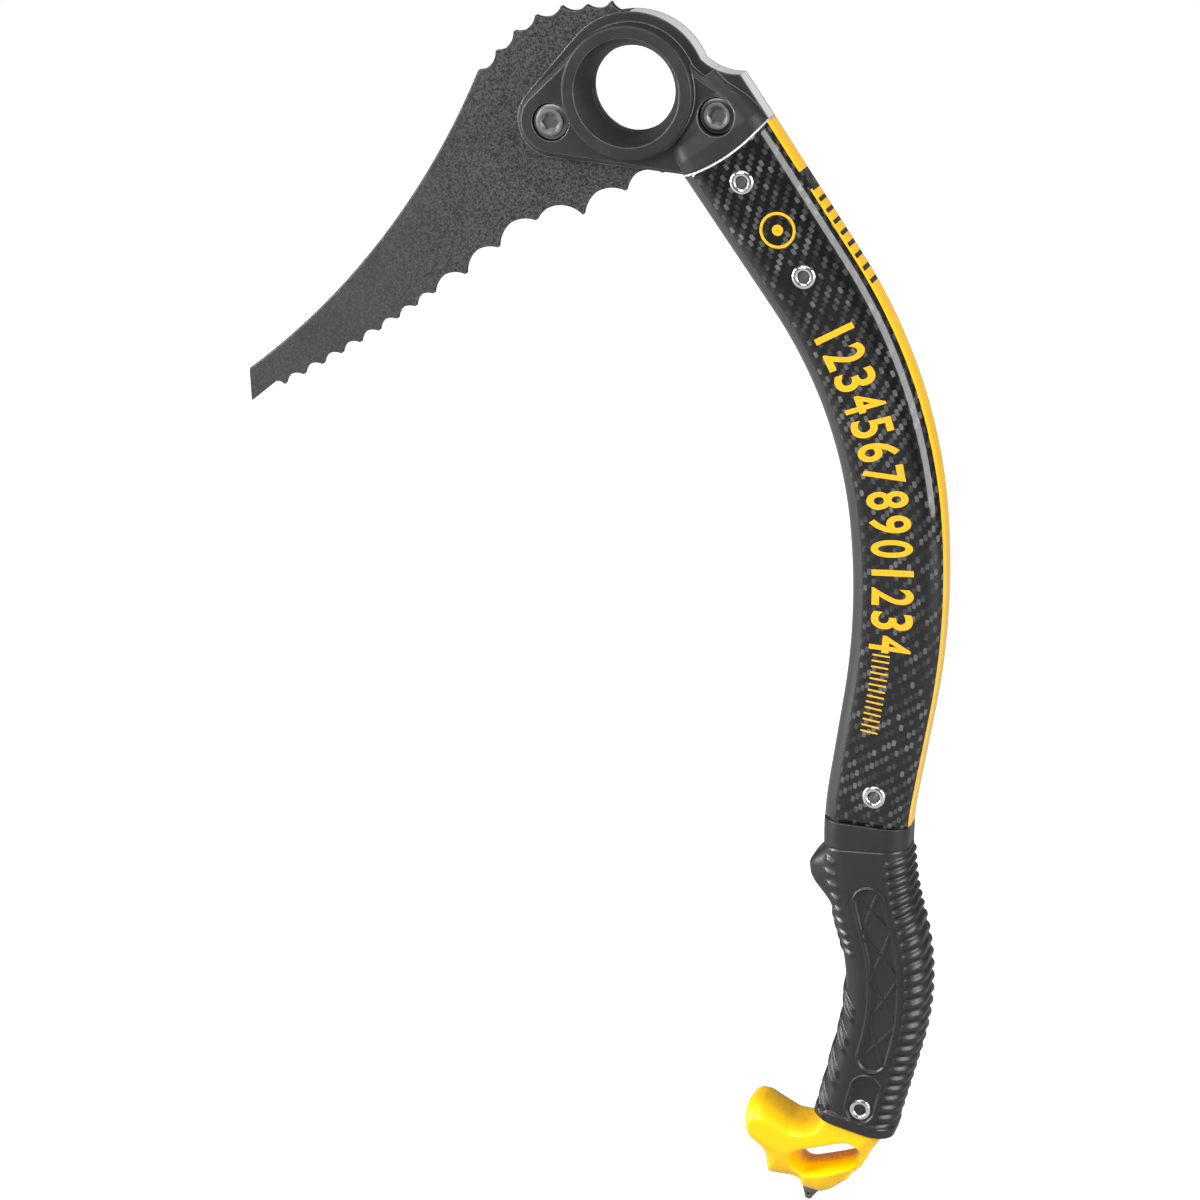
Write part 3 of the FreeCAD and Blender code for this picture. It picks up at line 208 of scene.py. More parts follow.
def bumped(tree, height, strength, distance, under=None):
    made = tree.nodes.new("ShaderNodeBump")
    tree.links.new(height, made.inputs["Height"])
    made.inputs["Strength"].default_value = strength
    made.inputs["Distance"].default_value = distance
    if under is not None:
        tree.links.new(under, made.inputs["Normal"])
    return made.outputs["Normal"]


def softEdges(tree, radius):
    made = tree.nodes.new("ShaderNodeBevel")
    made.samples = 6
    made.inputs["Radius"].default_value = radius
    return made.outputs["Normal"]


# 1 on sharp edges and 0 away from them
def edgeShare(tree, radius, sharp):
    soft = softEdges(tree, radius)
    plain = tree.nodes.new("ShaderNodeNewGeometry").outputs["Normal"]
    dot = tree.nodes.new("ShaderNodeVectorMath")
    dot.operation = "DOT_PRODUCT"
    tree.links.new(soft, dot.inputs[0])
    tree.links.new(plain, dot.inputs[1])
    return ranged(tree, dot.outputs["Value"], 1.0 - sharp, 1.0, 1.0, 0.0, smooth=True)


# bare metal where edges rub, with a painted highlight along the same edges, broken up by a cloud
def wornAndLitEdgeShare(tree, cloud, finish):
    return product(tree, edgeShare(tree, *finish["wornAndLitEdge"]), ranged(tree, cloud, *finish["wornAndLitEdgeCloud"], 1.0))


# pick: blackened steel, pebbled at the head and smoother at the tip
pickFinish = {"dark": (0.010, 0.010, 0.0105), "light": (0.085, 0.085, 0.087), "edge": (0.55, 0.55, 0.56),
              "pebbleScale": 1150.0, "pebbleSpan": (0.36, 0.66), "cloudScale": 60.0, "roughness": (0.40, 0.56),
              "tipSmoothFrom": -0.045, "tipSmoothTo": -0.120, "tipShare": 0.35,
              "wornAndLitEdge": (0.35 * mm, 0.35), "wornAndLitEdgeCloud": (0.35, 0.6, 0.35), "relief": (0.75, 0.25 * mm),
              "softEdges": 0.3 * mm}


def makePickSteel():
    finish = pickFinish
    material, tree, shader = newMaterial("pickSteel", metallic=0.35, roughness=0.48)
    where = objectPlace(tree)
    pebbles = noise(tree, where, finish["pebbleScale"], 2.5, 0.6)
    cloud = noise(tree, where, finish["cloudScale"], 4.0, 0.5)
    rough = ranged(tree, apartOf(tree, where)["X"], finish["tipSmoothTo"], finish["tipSmoothFrom"],
                   finish["tipShare"], 1.0, True)
    speck = ranged(tree, pebbles, *finish["pebbleSpan"], 0.0, 1.0)
    speck = calc(tree, "ADD", product(tree, calc(tree, "SUBTRACT", speck, 0.5), rough), 0.5)
    body = rampMix(tree, speck, finish["dark"], finish["light"])
    # pale edges: wear and a painted highlight along the edges
    give(shader, "Base Color", rampMix(tree, wornAndLitEdgeShare(tree, cloud, finish), body, finish["edge"]))
    give(shader, "Roughness", spread(tree, cloud, *finish["roughness"]))
    soft = softEdges(tree, finish["softEdges"])
    give(shader, "Normal", bumped(tree, product(tree, pebbles, rough), *finish["relief"], soft))
    return material


# head: satin black forging with a fine grain and rubbed edges that also carry a painted highlight
headFinish = {"dark": (0.020, 0.020, 0.021), "light": (0.036, 0.036, 0.037), "edge": (0.60, 0.60, 0.61),
              "grainScale": 1400.0, "cloudScale": 45.0, "roughness": (0.36, 0.50), "relief": (0.18, 0.08 * mm),
              "wornAndLitEdge": (0.4 * mm, 0.30), "wornAndLitEdgeCloud": (0.3, 0.6, 0.4), "softEdges": 1.1 * mm}
# its spine, painted near white as the highlight on its lit back face: half as wide as it is, outside a radius
# round the eye, behind and above two limits
spineHighlight = {"polished": (0.80, 0.80, 0.81), "half": 4.3 * mm, "radius": 29.6 * mm, "from": -1.4 * mm,
              "low": -12.0 * mm, "metallic": (0.25, 0.4)}


def makeForgedHead():
    finish = headFinish
    material, tree, shader = newMaterial("forgedHead", metallic=0.25, roughness=0.42)
    where = objectPlace(tree)
    grain = noise(tree, where, finish["grainScale"], 2.0, 0.6)
    cloud = noise(tree, where, finish["cloudScale"], 4.0, 0.55)
    x, y, z = apartOf(tree, where)
    fromEye = calc(tree, "SQRT", calc(tree, "ADD", product(tree, x, x), product(tree, z, z)))
    # the spine band: a painted highlight, near-white colour with some metal
    strip = product(tree, calc(tree, "LESS_THAN", calc(tree, "ABSOLUTE", y), spineHighlight["half"]),
                    calc(tree, "GREATER_THAN", fromEye, spineHighlight["radius"]),
                    calc(tree, "GREATER_THAN", x, spineHighlight["from"]),
                    calc(tree, "GREATER_THAN", z, spineHighlight["low"]))
    body = rampMix(tree, spread(tree, cloud, 0.0, 1.0), finish["dark"], finish["light"])
    # pale edges: wear and a painted highlight along the edges
    body = rampMix(tree, wornAndLitEdgeShare(tree, cloud, finish), body, finish["edge"])
    give(shader, "Base Color", rampMix(tree, strip, body, spineHighlight["polished"]))
    give(shader, "Metallic", ranged(tree, strip, 0.0, 1.0, *spineHighlight["metallic"]))
    give(shader, "Roughness", spread(tree, grain, *finish["roughness"]))
    give(shader, "Normal", bumped(tree, grain, *finish["relief"], softEdges(tree, finish["softEdges"])))
    return material


# bolts, nuts and spike: darkened steel with a fine grain
darkSteels = {
    "boltSteel": {"tone": 0.21, "roughness": 0.42},
    "spikeSteel": {"tone": 0.16, "roughness": 0.30},
}
darkSteelFinish = {"edge": (0.45, 0.45, 0.46), "grainScale": 900.0, "cloudScale": 160.0, "tones": (0.6, 1.5),
                   "smoother": 0.06, "rougher": 0.1, "wornAndLitEdge": (0.35 * mm, 0.3), "wornAndLitEdgeCloud": (0.3, 0.6, 0.3),
                   "relief": (0.15, 0.08 * mm), "softEdges": 0.35 * mm}


def makeDarkSteel(name, tone, roughness):
    finish = darkSteelFinish
    material, tree, shader = newMaterial(name, metallic=0.85, roughness=roughness)
    where = objectPlace(tree)
    grain = noise(tree, where, finish["grainScale"], 3.0, 0.6)
    cloud = noise(tree, where, finish["cloudScale"], 3.0, 0.5)
    body = rampMix(tree, cloud, *((tone * share,) * 3 for share in finish["tones"]))
    # pale edges: wear and a painted highlight along the edges
    give(shader, "Base Color", rampMix(tree, wornAndLitEdgeShare(tree, cloud, finish), body, finish["edge"]))
    give(shader, "Roughness",
         spread(tree, grain, roughness - finish["smoother"], roughness + finish["rougher"]))
    give(shader, "Normal", bumped(tree, grain, *finish["relief"], softEdges(tree, finish["softEdges"])))
    return material


# rivets: bright plated tubes
chromeFinish = {"dark": (0.62, 0.62, 0.63), "light": (0.86, 0.86, 0.87), "cloud": (500.0, 3.0, 0.5),
                "roughness": (0.08, 0.2), "relief": (0.08, 0.05 * mm)}
# core and spacer: drawn alloy tube
tubeFinish = {"dark": (0.45, 0.45, 0.46), "light": (0.66, 0.66, 0.68), "cloud": (300.0, 3.0, 0.5),
              "relief": (0.1, 0.05 * mm)}
# grip: soft black rubber with a fine moulded grain
gripFinish = {"dark": (0.007, 0.007, 0.0074), "light": (0.017, 0.017, 0.018), "cloud": (60.0, 4.0, 0.55),
              "grain": (1500.0, 2.0, 0.6), "roughness": (0.30, 0.42), "relief": (0.12, 0.06 * mm)}
# pommel: glossy yellow plastic that glows a little orange in its hollows
pommelFinish = {"dark": (1.0, 0.53, 0.0), "light": (1.0, 0.62, 0.0), "cloud": (35.0, 3.0, 0.5),
                "grain": (700.0, 2.0, 0.6), "roughness": (0.24, 0.34), "relief": (0.008, 0.05 * mm)}
pommelGlow = {"Subsurface Weight": 0.08, "Subsurface Radius": (1.0, 0.45, 0.05),
              "Subsurface Scale": 3.0 * mm, "Specular IOR Level": 0.35}
# ink of the digits, ticks and ring
inkFinish = {"dark": (0.82, 0.40, 0.004), "light": (0.90, 0.46, 0.006), "cloud": (400.0, 3.0, 0.5),
             "roughness": (0.30, 0.42)}


# colour by a cloud, gloss and relief by a grain or, without one, by the cloud
def makeEvenMaterial(name, finish, **settings):
    material, tree, shader = newMaterial(name, **settings)
    where = objectPlace(tree)
    cloud = noise(tree, where, *finish["cloud"])
    grain = noise(tree, where, *finish["grain"]) if "grain" in finish else cloud
    give(shader, "Base Color", rampMix(tree, cloud, finish["dark"], finish["light"]))
    if "roughness" in finish:
        give(shader, "Roughness", spread(tree, grain, *finish["roughness"]))
    if "relief" in finish:
        give(shader, "Normal", bumped(tree, grain, *finish["relief"]))
    return material


# carbon: short tows in slanting rows, the lighter ones painted as the fibres' sheen, under a clear coat, a
# plain inner edge and a yellow back strip
carbonFinish = {"tow": 1.8 * mm, "dash": 5.6 * mm, "step": 0.27,
                "black": (0.003, 0.003, 0.0033), "grey": (0.13, 0.13, 0.133),
                "plain": (0.030, 0.030, 0.031), "yellow": (0.95, 0.53, 0.004), "seam": (0.62, 0.62, 0.63),
                "stripHalf": 7.0 * mm, "plainWidth": 14.0 * mm, "seamWidth": 0.7 * mm,
                "gapFrom": 24.0 * mm, "gapTo": 32.0 * mm, "hatchTo": 75.0 * mm, "hatchPitch": 5.2 * mm,
                "hatchInk": 0.34, "hatchHalf": 5.4 * mm,
                "brightness": (0.15, 0.95, 0.05, 1.0), "towEdge": 0.3, "fibreScale": 6.0, "fibre": (0.6, 1.2),
                "patchScale": 110.0, "patches": (0.4, 0.6, 0.25, 1.1), "relief": (0.25, 0.12 * mm),
                "rippleScale": 90.0, "ripple": (0.10, 0.4 * mm), "scatter": (12.9898, 78.233, 43758.5453)}


def surfaceValue(tree, name):
    made = tree.nodes.new("ShaderNodeAttribute")
    made.attribute_name = name
    return made.outputs["Fac"]


def makeCarbon():
    finish = carbonFinish
    material, tree, shader = newMaterial("carbonWeave", roughness=0.35, ior=1.5, coat=1.0, coatRoughness=0.08)
    shader.inputs["Specular IOR Level"].default_value = 0.1
    uv = tree.nodes.new("ShaderNodeUVMap")
    uv.uv_map = "weave"
    inTows = tree.nodes.new("ShaderNodeMapping")
    inTows.inputs["Scale"].default_value = (1 / finish["dash"], 1 / finish["tow"], 1.0)
    tree.links.new(uv.outputs[0], inTows.inputs["Vector"])
    place = apartOf(tree, inTows.outputs[0])
    row = calc(tree, "FLOOR", place["Y"])
    columnIn = calc(tree, "ADD", place["X"], calc(tree, "MULTIPLY", row, finish["step"]))
    column = calc(tree, "FLOOR", columnIn)
    alongTow = calc(tree, "FRACT", columnIn)
    shown = calc(tree, "LESS_THAN", alongTow, 0.5)
    humpLong = calc(tree, "ABSOLUTE", calc(tree, "SINE", calc(tree, "MULTIPLY", alongTow, 2 * math.pi)))
    humpWide = calc(tree, "SINE", calc(tree, "MULTIPLY", calc(tree, "FRACT", place["Y"]), math.pi))
    hump = product(tree, humpLong, humpWide)
    fibre = noise(tree, inTows.outputs[0], finish["fibreScale"], 3.0, 0.6)
    # one number between 0 and 1 for each tow
    byColumn, byRow, bySine = finish["scatter"]
    cell = calc(tree, "ADD", product(tree, column, byColumn), product(tree, row, byRow))
    chance = calc(tree, "FRACT", product(tree, calc(tree, "SINE", cell), bySine))
    patches = noise(tree, objectPlace(tree), finish["patchScale"], 2.0, 0.5)
    # the lighter grey of the tows is a painted sheen of the fibres, laid out by the weave's pattern
    light = product(tree, shown, ranged(tree, chance, *finish["brightness"]),
                    ranged(tree, hump, 0.0, finish["towEdge"], 0.0, 1.0), spread(tree, fibre, *finish["fibre"]),
                    ranged(tree, patches, *finish["patches"]))
    weave = rampMix(tree, light, finish["black"], finish["grey"])

    down, fromOuter = surfaceValue(tree, "downShaft"), surfaceValue(tree, "fromOuter")
    plain = calc(tree, "LESS_THAN", surfaceValue(tree, "fromInner"), finish["plainWidth"])
    gap = product(tree, calc(tree, "GREATER_THAN", down, finish["gapFrom"]),
                  calc(tree, "LESS_THAN", down, finish["gapTo"]))
    strip = product(tree, calc(tree, "LESS_THAN", fromOuter, finish["stripHalf"]),
                    calc(tree, "SUBTRACT", 1.0, gap))
    hatchPlace = calc(tree, "FRACT", calc(tree, "DIVIDE", down, finish["hatchPitch"]))
    hatch = product(tree, calc(tree, "LESS_THAN", hatchPlace, finish["hatchInk"]),
                    calc(tree, "LESS_THAN", fromOuter, finish["hatchHalf"]),
                    calc(tree, "GREATER_THAN", down, finish["gapTo"]),
                    calc(tree, "LESS_THAN", down, finish["hatchTo"]))
    seam = calc(tree, "LESS_THAN", surfaceValue(tree, "fromTop"), finish["seamWidth"])
    base = weave
    for share, colour in ((plain, "plain"), (strip, "yellow"), (hatch, "black"), (seam, "seam")):
        base = rampMix(tree, share, base, finish[colour])
    give(shader, "Base Color", base)
    bare = calc(tree, "SUBTRACT", 1.0, calc(tree, "MAXIMUM", plain, strip))
    give(shader, "Normal", bumped(tree, product(tree, hump, bare), *finish["relief"]))
    ripple = noise(tree, objectPlace(tree), finish["rippleScale"], 2.0, 0.4)
    give(shader, "Coat Normal", bumped(tree, ripple, *finish["ripple"]))
    return material


pickSteel = makePickSteel()
forgedHead = makeForgedHead()
boltSteel, spikeSteel = (makeDarkSteel(name, **steel) for name, steel in darkSteels.items())
carbonWeave = makeCarbon()
rivetChrome = makeEvenMaterial("rivetChrome", chromeFinish, metallic=1.0, roughness=0.12)
tubeAlloy = makeEvenMaterial("tubeAlloy", tubeFinish, metallic=1.0, roughness=0.35)
gripRubber = makeEvenMaterial("gripRubber", gripFinish, roughness=0.36, ior=1.55)
pommelPlastic = makeEvenMaterial("pommelPlastic", pommelFinish, roughness=0.28, ior=1.5, coat=0.2,
                                 coatRoughness=0.12)
for label, value in pommelGlow.items():
    pommelPlastic.node_tree.nodes["Principled BSDF"].inputs[label].default_value = value
yellowInk = makeEvenMaterial("yellowInk", inkFinish, roughness=0.35, coat=0.6, coatRoughness=0.08)
print("materials made")

cadFinishes = {
    "pick": pickSteel, "head": forgedHead, "pick_bolt_front": boltSteel, "pick_bolt_rear": boltSteel,
    "pick_nut_front": boltSteel, "pick_nut_rear": boltSteel, "handle_core": tubeAlloy,
    "shaft_spacer": tubeAlloy, "spike": spikeSteel, "spike_pin": spikeSteel,
    "head_rivet_upper": rivetChrome, "head_rivet_lower": rivetChrome, "shaft_rivet": rivetChrome,
    "pommel_rivet": rivetChrome}
for name, finish in cadFinishes.items():
    nodes[name].data.materials.clear()
    nodes[name].data.materials.append(finish)


def addObject(name, data):
    made = bpy.data.objects.new(name, data)
    bpy.context.scene.collection.objects.link(made)
    return made


def newMesh(name, vertices, faces, material, smooth=True):
    mesh = bpy.data.meshes.new(name)
    mesh.from_pydata(vertices, [], faces)
    if smooth:
        mesh.polygons.foreach_set("use_smooth", [True] * len(mesh.polygons))
    mesh.update()
    mesh.materials.append(material)
    return addObject(name, mesh)


# faces between rings of points that follow one another, the last ring back to the first
def closedFaces(total, count):
    faces = []
    for row in range(total):
        nextRow = (row + 1) % total
        for column in range(count):
            nextColumn = (column + 1) % count
            faces.append((row * count + column, row * count + nextColumn,
                          nextRow * count + nextColumn, nextRow * count + column))
    return faces


# the evaluated mesh of an object, as a new object without modifiers
def plainMesh(source, name):
    depsgraph = bpy.context.evaluated_depsgraph_get()
    mesh = bpy.data.meshes.new_from_object(source.evaluated_get(depsgraph))
    made = addObject(name, mesh)
    bpy.data.objects.remove(source)
    made.name = name
    mesh.name = name
    return made


# points round a rectangle with round corners, evenly spaced from the middle of its inner side
def roundedRing(width, depth, corner, count):
    flatWide, flatDeep = width / 2 - corner, depth / 2 - corner
    quarter = corner * math.pi / 2
    pieces = [(flatDeep, "inner"), (quarter, "innerFront"), (2 * flatWide, "front"), (quarter, "frontOuter"),
              (2 * flatDeep, "outer"), (quarter, "outerBack"), (2 * flatWide, "back"), (quarter, "backInner"),
              (flatDeep, "innerEnd")]
    around = sum(length for length, side in pieces)
    ring = []
    for index in range(count):
        left = around * index / count
        for length, side in pieces:
            if left <= length:
                break
            left -= length
        angle = left / corner
        cosine, sine = math.cos(angle), math.sin(angle)
        spot = {
            "inner": (-width / 2, -left, -1, 0),
            "innerFront": (-flatWide - corner * cosine, -flatDeep - corner * sine, -cosine, -sine),
            "front": (-flatWide + left, -depth / 2, 0, -1),
            "frontOuter": (flatWide + corner * sine, -flatDeep - corner * cosine, sine, -cosine),
            "outer": (width / 2, -flatDeep + left, 1, 0),
            "outerBack": (flatWide + corner * cosine, flatDeep + corner * sine, cosine, sine),
            "back": (flatWide - left, depth / 2, 0, 1),
            "backInner": (-flatWide - corner * sine, flatDeep + corner * cosine, -sine, cosine),
            "innerEnd": (-width / 2, flatDeep - left, -1, 0),
        }[side]
        ring.append((*spot, around * index / count, around))
    return ring


def blendedSection(low, high, share):
    return [low[part] + share * (high[part] - low[part]) for part in ("width", "depth", "corner")]


# shaft: one tapered tube with the bowed top edge, replaced to carry the weave along its curve
shaftShape = {
    "top": {"width": 41.6 * mm, "depth": 26.0 * mm, "corner": 9.5 * mm},
    "low": {"width": 35.6 * mm, "depth": 24.8 * mm, "corner": 9.0 * mm},
    "wall": 2.2 * mm, "bow": 3.0 * mm, "gap": 0.1 * mm, "gripLength": 135.2 * mm,
    "rows": 150, "around": 120, "rivetHole": 3.25 * mm, "holeSides": 40, "drillLength": 60.0 * mm}
gripTop = lineLength - shaftShape["gripLength"]


# rings of one face of the shaft's wall, from its bowed top edge to its low end: each point with its way
# down the shaft, its way round the ring, the ring's length and its way from the top edge
def tubeRows(shape, wallIn, count):
    half = shape["top"]["width"] / 2
    rows = []
    for row in range(shape["rows"] + 1):
        share = row / shape["rows"]
        ring = []
        width, depth, corner = blendedSection(shape["top"], shape["low"], share)
        section = roundedRing(width - 2 * wallIn, depth - 2 * wallIn, corner - wallIn, count)
        for across, y, nx, ny, roundWay, around in section:
            start = shape["gap"] + shape["bow"] * (1 - (across / half) ** 2)
            at = start + (gripTop - start) * share
            ring.append((onLine(at, across, y), at, roundWay, around, at - start))
        rows.append(ring)
    return rows


# no rib or curve stands out of the box that the solids fill
def keepInside(made):
    for vertex in made.data.vertices:
        vertex.co.x = min(vertex.co.x, cadBox[1][0])
        vertex.co.y = min(max(vertex.co.y, cadBox[0][1]), cadBox[1][1])


def makeShaft():
    count = shaftShape["around"]
    outer = tubeRows(shaftShape, 0.0, count)
    inner = tubeRows(shaftShape, shaftShape["wall"], count)
    rows = outer + inner[::-1]
    vertices = [spot for ring in rows for spot, *rest in ring]
    made = newMesh("shaftTube", vertices, closedFaces(len(rows), count), carbonWeave)
    mesh = made.data
    data = {"downShaft": [], "fromInner": [], "fromOuter": [], "fromTop": []}
    for ring in rows:
        for spot, at, roundWay, around, below in ring:
            data["fromTop"].append(below)
            data["downShaft"].append(at)
            data["fromInner"].append(min(roundWay, around - roundWay))
            data["fromOuter"].append(abs(roundWay - around / 2))
    for name, values in data.items():
        mesh.attributes.new(name, "FLOAT", "POINT").data.foreach_set("value", values)
    uv = mesh.uv_layers.new(name="weave")
    for polygon in mesh.polygons:
        columns = [mesh.loops[index].vertex_index % count for index in polygon.loop_indices]
        wraps = max(columns) - min(columns) > 1
        for index, column in zip(polygon.loop_indices, columns):
            vertex = mesh.loops[index].vertex_index
            spot, at, roundWay, around, below = rows[vertex // count][column]
            uv.data[index].uv = (at, around if wraps and column == 0 else roundWay)
    return made


def cutRivetHoles(made):
    for name in ("head_rivet_upper", "head_rivet_lower", "shaft_rivet"):
        low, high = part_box(name)
        bpy.ops.mesh.primitive_cylinder_add(
            vertices=shaftShape["holeSides"], radius=shaftShape["rivetHole"], depth=shaftShape["drillLength"],
            location=(low + high) / 2, rotation=(math.pi / 2, 0, 0))
        drill = bpy.context.object
        drill.data.materials.append(carbonWeave)
        cut = made.modifiers.new("rivetHole", "BOOLEAN")
        cut.operation = "DIFFERENCE"
        cut.object = drill
        made = plainMesh(made, "shaftTube")
        bpy.data.objects.remove(drill)
    return made


shaft = cutRivetHoles(makeShaft())
keepInside(shaft)
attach(shaft, "axe")
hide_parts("shaft")
print("shaft made", len(shaft.data.polygons))

# grip: a dense sleeve, shaped point by point and then ribbed by a node tree
gripShape = {
    "top": {"width": 35.6 * mm, "depth": 27.6 * mm, "corner": 10.0 * mm},
    "low": {"width": 32.4 * mm, "depth": 29.6 * mm, "corner": 10.0 * mm},
    "gap": 0.1 * mm, "wallRows": 40, "rows": 400, "around": 200, "bore": (31.2 * mm, 20.4 * mm, 6.9 * mm),
    "stopAt": 20.0 * mm, "stopReach": 6.6 * mm, "stopRise": (-10.0 * mm, -1.5 * mm),
    "stopFall": (1.0 * mm, 15.0 * mm), "stopWidth": (5.0 * mm, 15.0 * mm),
    "noRibsRise": (9.0 * mm, 12.0 * mm), "noRibsFall": (34.0 * mm, 38.0 * mm),
    "noRibsWidth": (11.0 * mm, 13.0 * mm), "lipProud": 1.2 * mm, "lipRise": (-5.3 * mm, -3.7 * mm),
    "grooveAt": 10.5 * mm, "grooveDeep": 0.5 * mm, "grooveHalf": 0.35 * mm,
}


def smoothStep(value, low, high):
    share = min(1.0, max(0.0, (value - low) / (high - low)))
    return share * share * (3 - 2 * share)


def stadiumDistance(along, across, start, end, half):
    nearest = min(max(along, start + half), end - half)
    return math.hypot(along - nearest, across) - half


def makeGripSleeve():
    shape = gripShape
    count, total = shape["around"], shape["rows"]
    length = lineLength - gripTop - shape["gap"]
    vertices, outwards = [], []
    fields = {"along": [], "fromInner": [], "fromOuter": [], "across": [], "ribShare": []}
    for row in range(total + 1):
        share = row / total
        down = length * share
        at = gripTop + shape["gap"] + down
        lean = station(at)[2]
        width, depth, corner = blendedSection(shape["top"], shape["low"], share)
        onStop = smoothStep(down, *shape["noRibsRise"]) * (1 - smoothStep(down, *shape["noRibsFall"]))
        for across, y, nx, ny, roundWay, around in roundedRing(width, depth, corner, count):
            fromInner = min(roundWay, around - roundWay)
            ribShare = 1 - onStop * (1 - smoothStep(fromInner, *shape["noRibsWidth"]))
            vertices.append(onLine(at, across, y))
            outwards.extend((nx * math.cos(lean), ny, nx * math.sin(lean)))
            for values, value in zip(fields.values(),
                                     (down, fromInner, abs(roundWay - around / 2), across, ribShare)):
                values.append(value)
    # the bore, marked as lying nowhere on the outside
    boreRows = shape["wallRows"]
    for row in range(boreRows + 1):
        at = lineLength - length * row / boreRows
        for across, y, *rest in roundedRing(*shape["bore"], count):
            vertices.append(onLine(at, across, y))
            outwards.extend((0, 0, 0))
            for values, value in zip(fields.values(), (-1.0, -1.0, -1.0, 0.0, 0.0)):
                values.append(value)
    made = newMesh("gripSleeve", vertices, closedFaces(total + 1 + boreRows + 1, count), gripRubber)
    for name, values in fields.items():
        made.data.attributes.new(name, "FLOAT", "POINT").data.foreach_set("value", values)
    made.data.attributes.new("outward", "FLOAT_VECTOR", "POINT").data.foreach_set("vector", outwards)
    return made


def newTree(name, inputs):
    tree = bpy.data.node_groups.new(name, "GeometryNodeTree")
    tree.interface.new_socket("Geometry", in_out="INPUT", socket_type="NodeSocketGeometry")
    for label, value in inputs.items():
        socket = tree.interface.new_socket(label, in_out="INPUT", socket_type="NodeSocketFloat")
        socket.default_value = value
    tree.interface.new_socket("Geometry", in_out="OUTPUT", socket_type="NodeSocketGeometry")
    entry = tree.nodes.new("NodeGroupInput")
    leave = tree.nodes.new("NodeGroupOutput")
    return tree, entry, leave


def finishTree(tree, geometry, leave, material):
    realize = tree.nodes.new("GeometryNodeRealizeInstances")
    tree.links.new(geometry, realize.inputs[0])
    coloured = tree.nodes.new("GeometryNodeSetMaterial")
    coloured.inputs["Material"].default_value = material
    tree.links.new(realize.outputs[0], coloured.inputs["Geometry"])
    tree.links.new(coloured.outputs[0], leave.inputs[0])


def moved(tree, geometry, offset):
    made = tree.nodes.new("GeometryNodeSetPosition")
    tree.links.new(geometry, made.inputs["Geometry"])
    tree.links.new(offset, made.inputs["Offset"])
    return made.outputs[0]


def scaledBy(tree, vector, amount):
    made = tree.nodes.new("ShaderNodeVectorMath")
    made.operation = "SCALE"
    tree.links.new(vector, made.inputs[0])
    tree.links.new(amount, made.inputs["Scale"])
    return made.outputs[0]


def named(tree, name, kind="FLOAT"):
    made = tree.nodes.new("GeometryNodeInputNamedAttribute")
    made.data_type = kind
    made.inputs["Name"].default_value = name
    return made.outputs["Attribute"]


# falls from 1 to 0 past an edge, or rises from 0 to 1 before it, over a soft stretch
def smoothPast(tree, value, edge, soft, rising):
    made = tree.nodes.new("ShaderNodeMapRange")
    made.interpolation_type = "SMOOTHSTEP"
    tree.links.new(value, made.inputs["Value"])
    if rising:
        tree.links.new(calc(tree, "SUBTRACT", edge, soft), made.inputs["From Min"])
        tree.links.new(edge, made.inputs["From Max"])
    else:
        tree.links.new(edge, made.inputs["From Min"])
        tree.links.new(calc(tree, "ADD", edge, soft), made.inputs["From Max"])
    made.inputs["To Min"].default_value = 0.0 if rising else 1.0
    made.inputs["To Max"].default_value = 1.0 if rising else 0.0
    return made.outputs[0]


# ribs raised on a surface that knows its way along and round the grip
ribInputs = {"Pitch": 4.1 * mm, "Height": 0.8 * mm, "Width": 0.45, "First": 12.0 * mm, "Last": 130.0 * mm,
             "Slant": 0.0, "Reach": 20.0 * mm, "Side": 1.0}
ribSoftness = {"ends": 0.4 * mm, "reach": 1.6 * mm}


def ribTree():
    tree, entry, leave = newTree("ribField", ribInputs)
    given = entry.outputs
    isOuter = calc(tree, "GREATER_THAN", given["Side"], 0.0)
    roundWay = calc(tree, "ADD", product(tree, named(tree, "fromOuter"), isOuter),
                    product(tree, named(tree, "fromInner"), calc(tree, "SUBTRACT", 1.0, isOuter)))
    shifted = calc(tree, "SUBTRACT", named(tree, "along"), product(tree, roundWay, given["Slant"]))
    turns = calc(tree, "DIVIDE", calc(tree, "SUBTRACT", shifted, given["First"]), given["Pitch"])
    offset = calc(tree, "ABSOLUTE", calc(tree, "SUBTRACT", calc(tree, "FRACT", turns), 0.5))
    away = calc(tree, "DIVIDE", offset, given["Width"])
    ridge = calc(tree, "MAXIMUM", calc(tree, "SUBTRACT", 1.0, calc(tree, "POWER", away, 2.0)), 0.0)
    lift = product(tree, ridge, given["Height"],
                   smoothPast(tree, shifted, given["First"], ribSoftness["ends"], True),
                   smoothPast(tree, shifted, given["Last"], ribSoftness["ends"], False),
                   smoothPast(tree, roundWay, given["Reach"], ribSoftness["reach"], False),
                   named(tree, "ribShare"))
    offset = scaledBy(tree, named(tree, "outward", "FLOAT_VECTOR"), lift)
    finishTree(tree, moved(tree, given["Geometry"], offset), leave, gripRubber)
    return tree


# puts a tree on an object with its inputs set by their identifiers
def useTree(made, tree, values):
    used = made.modifiers.new(tree.name, "NODES")
    identifiers = {item.name: item.identifier for item in tree.interface.items_tree if item.in_out == "INPUT"}
    used.node_group = tree
    for label, value in values.items():
        used[identifiers[label]] = value


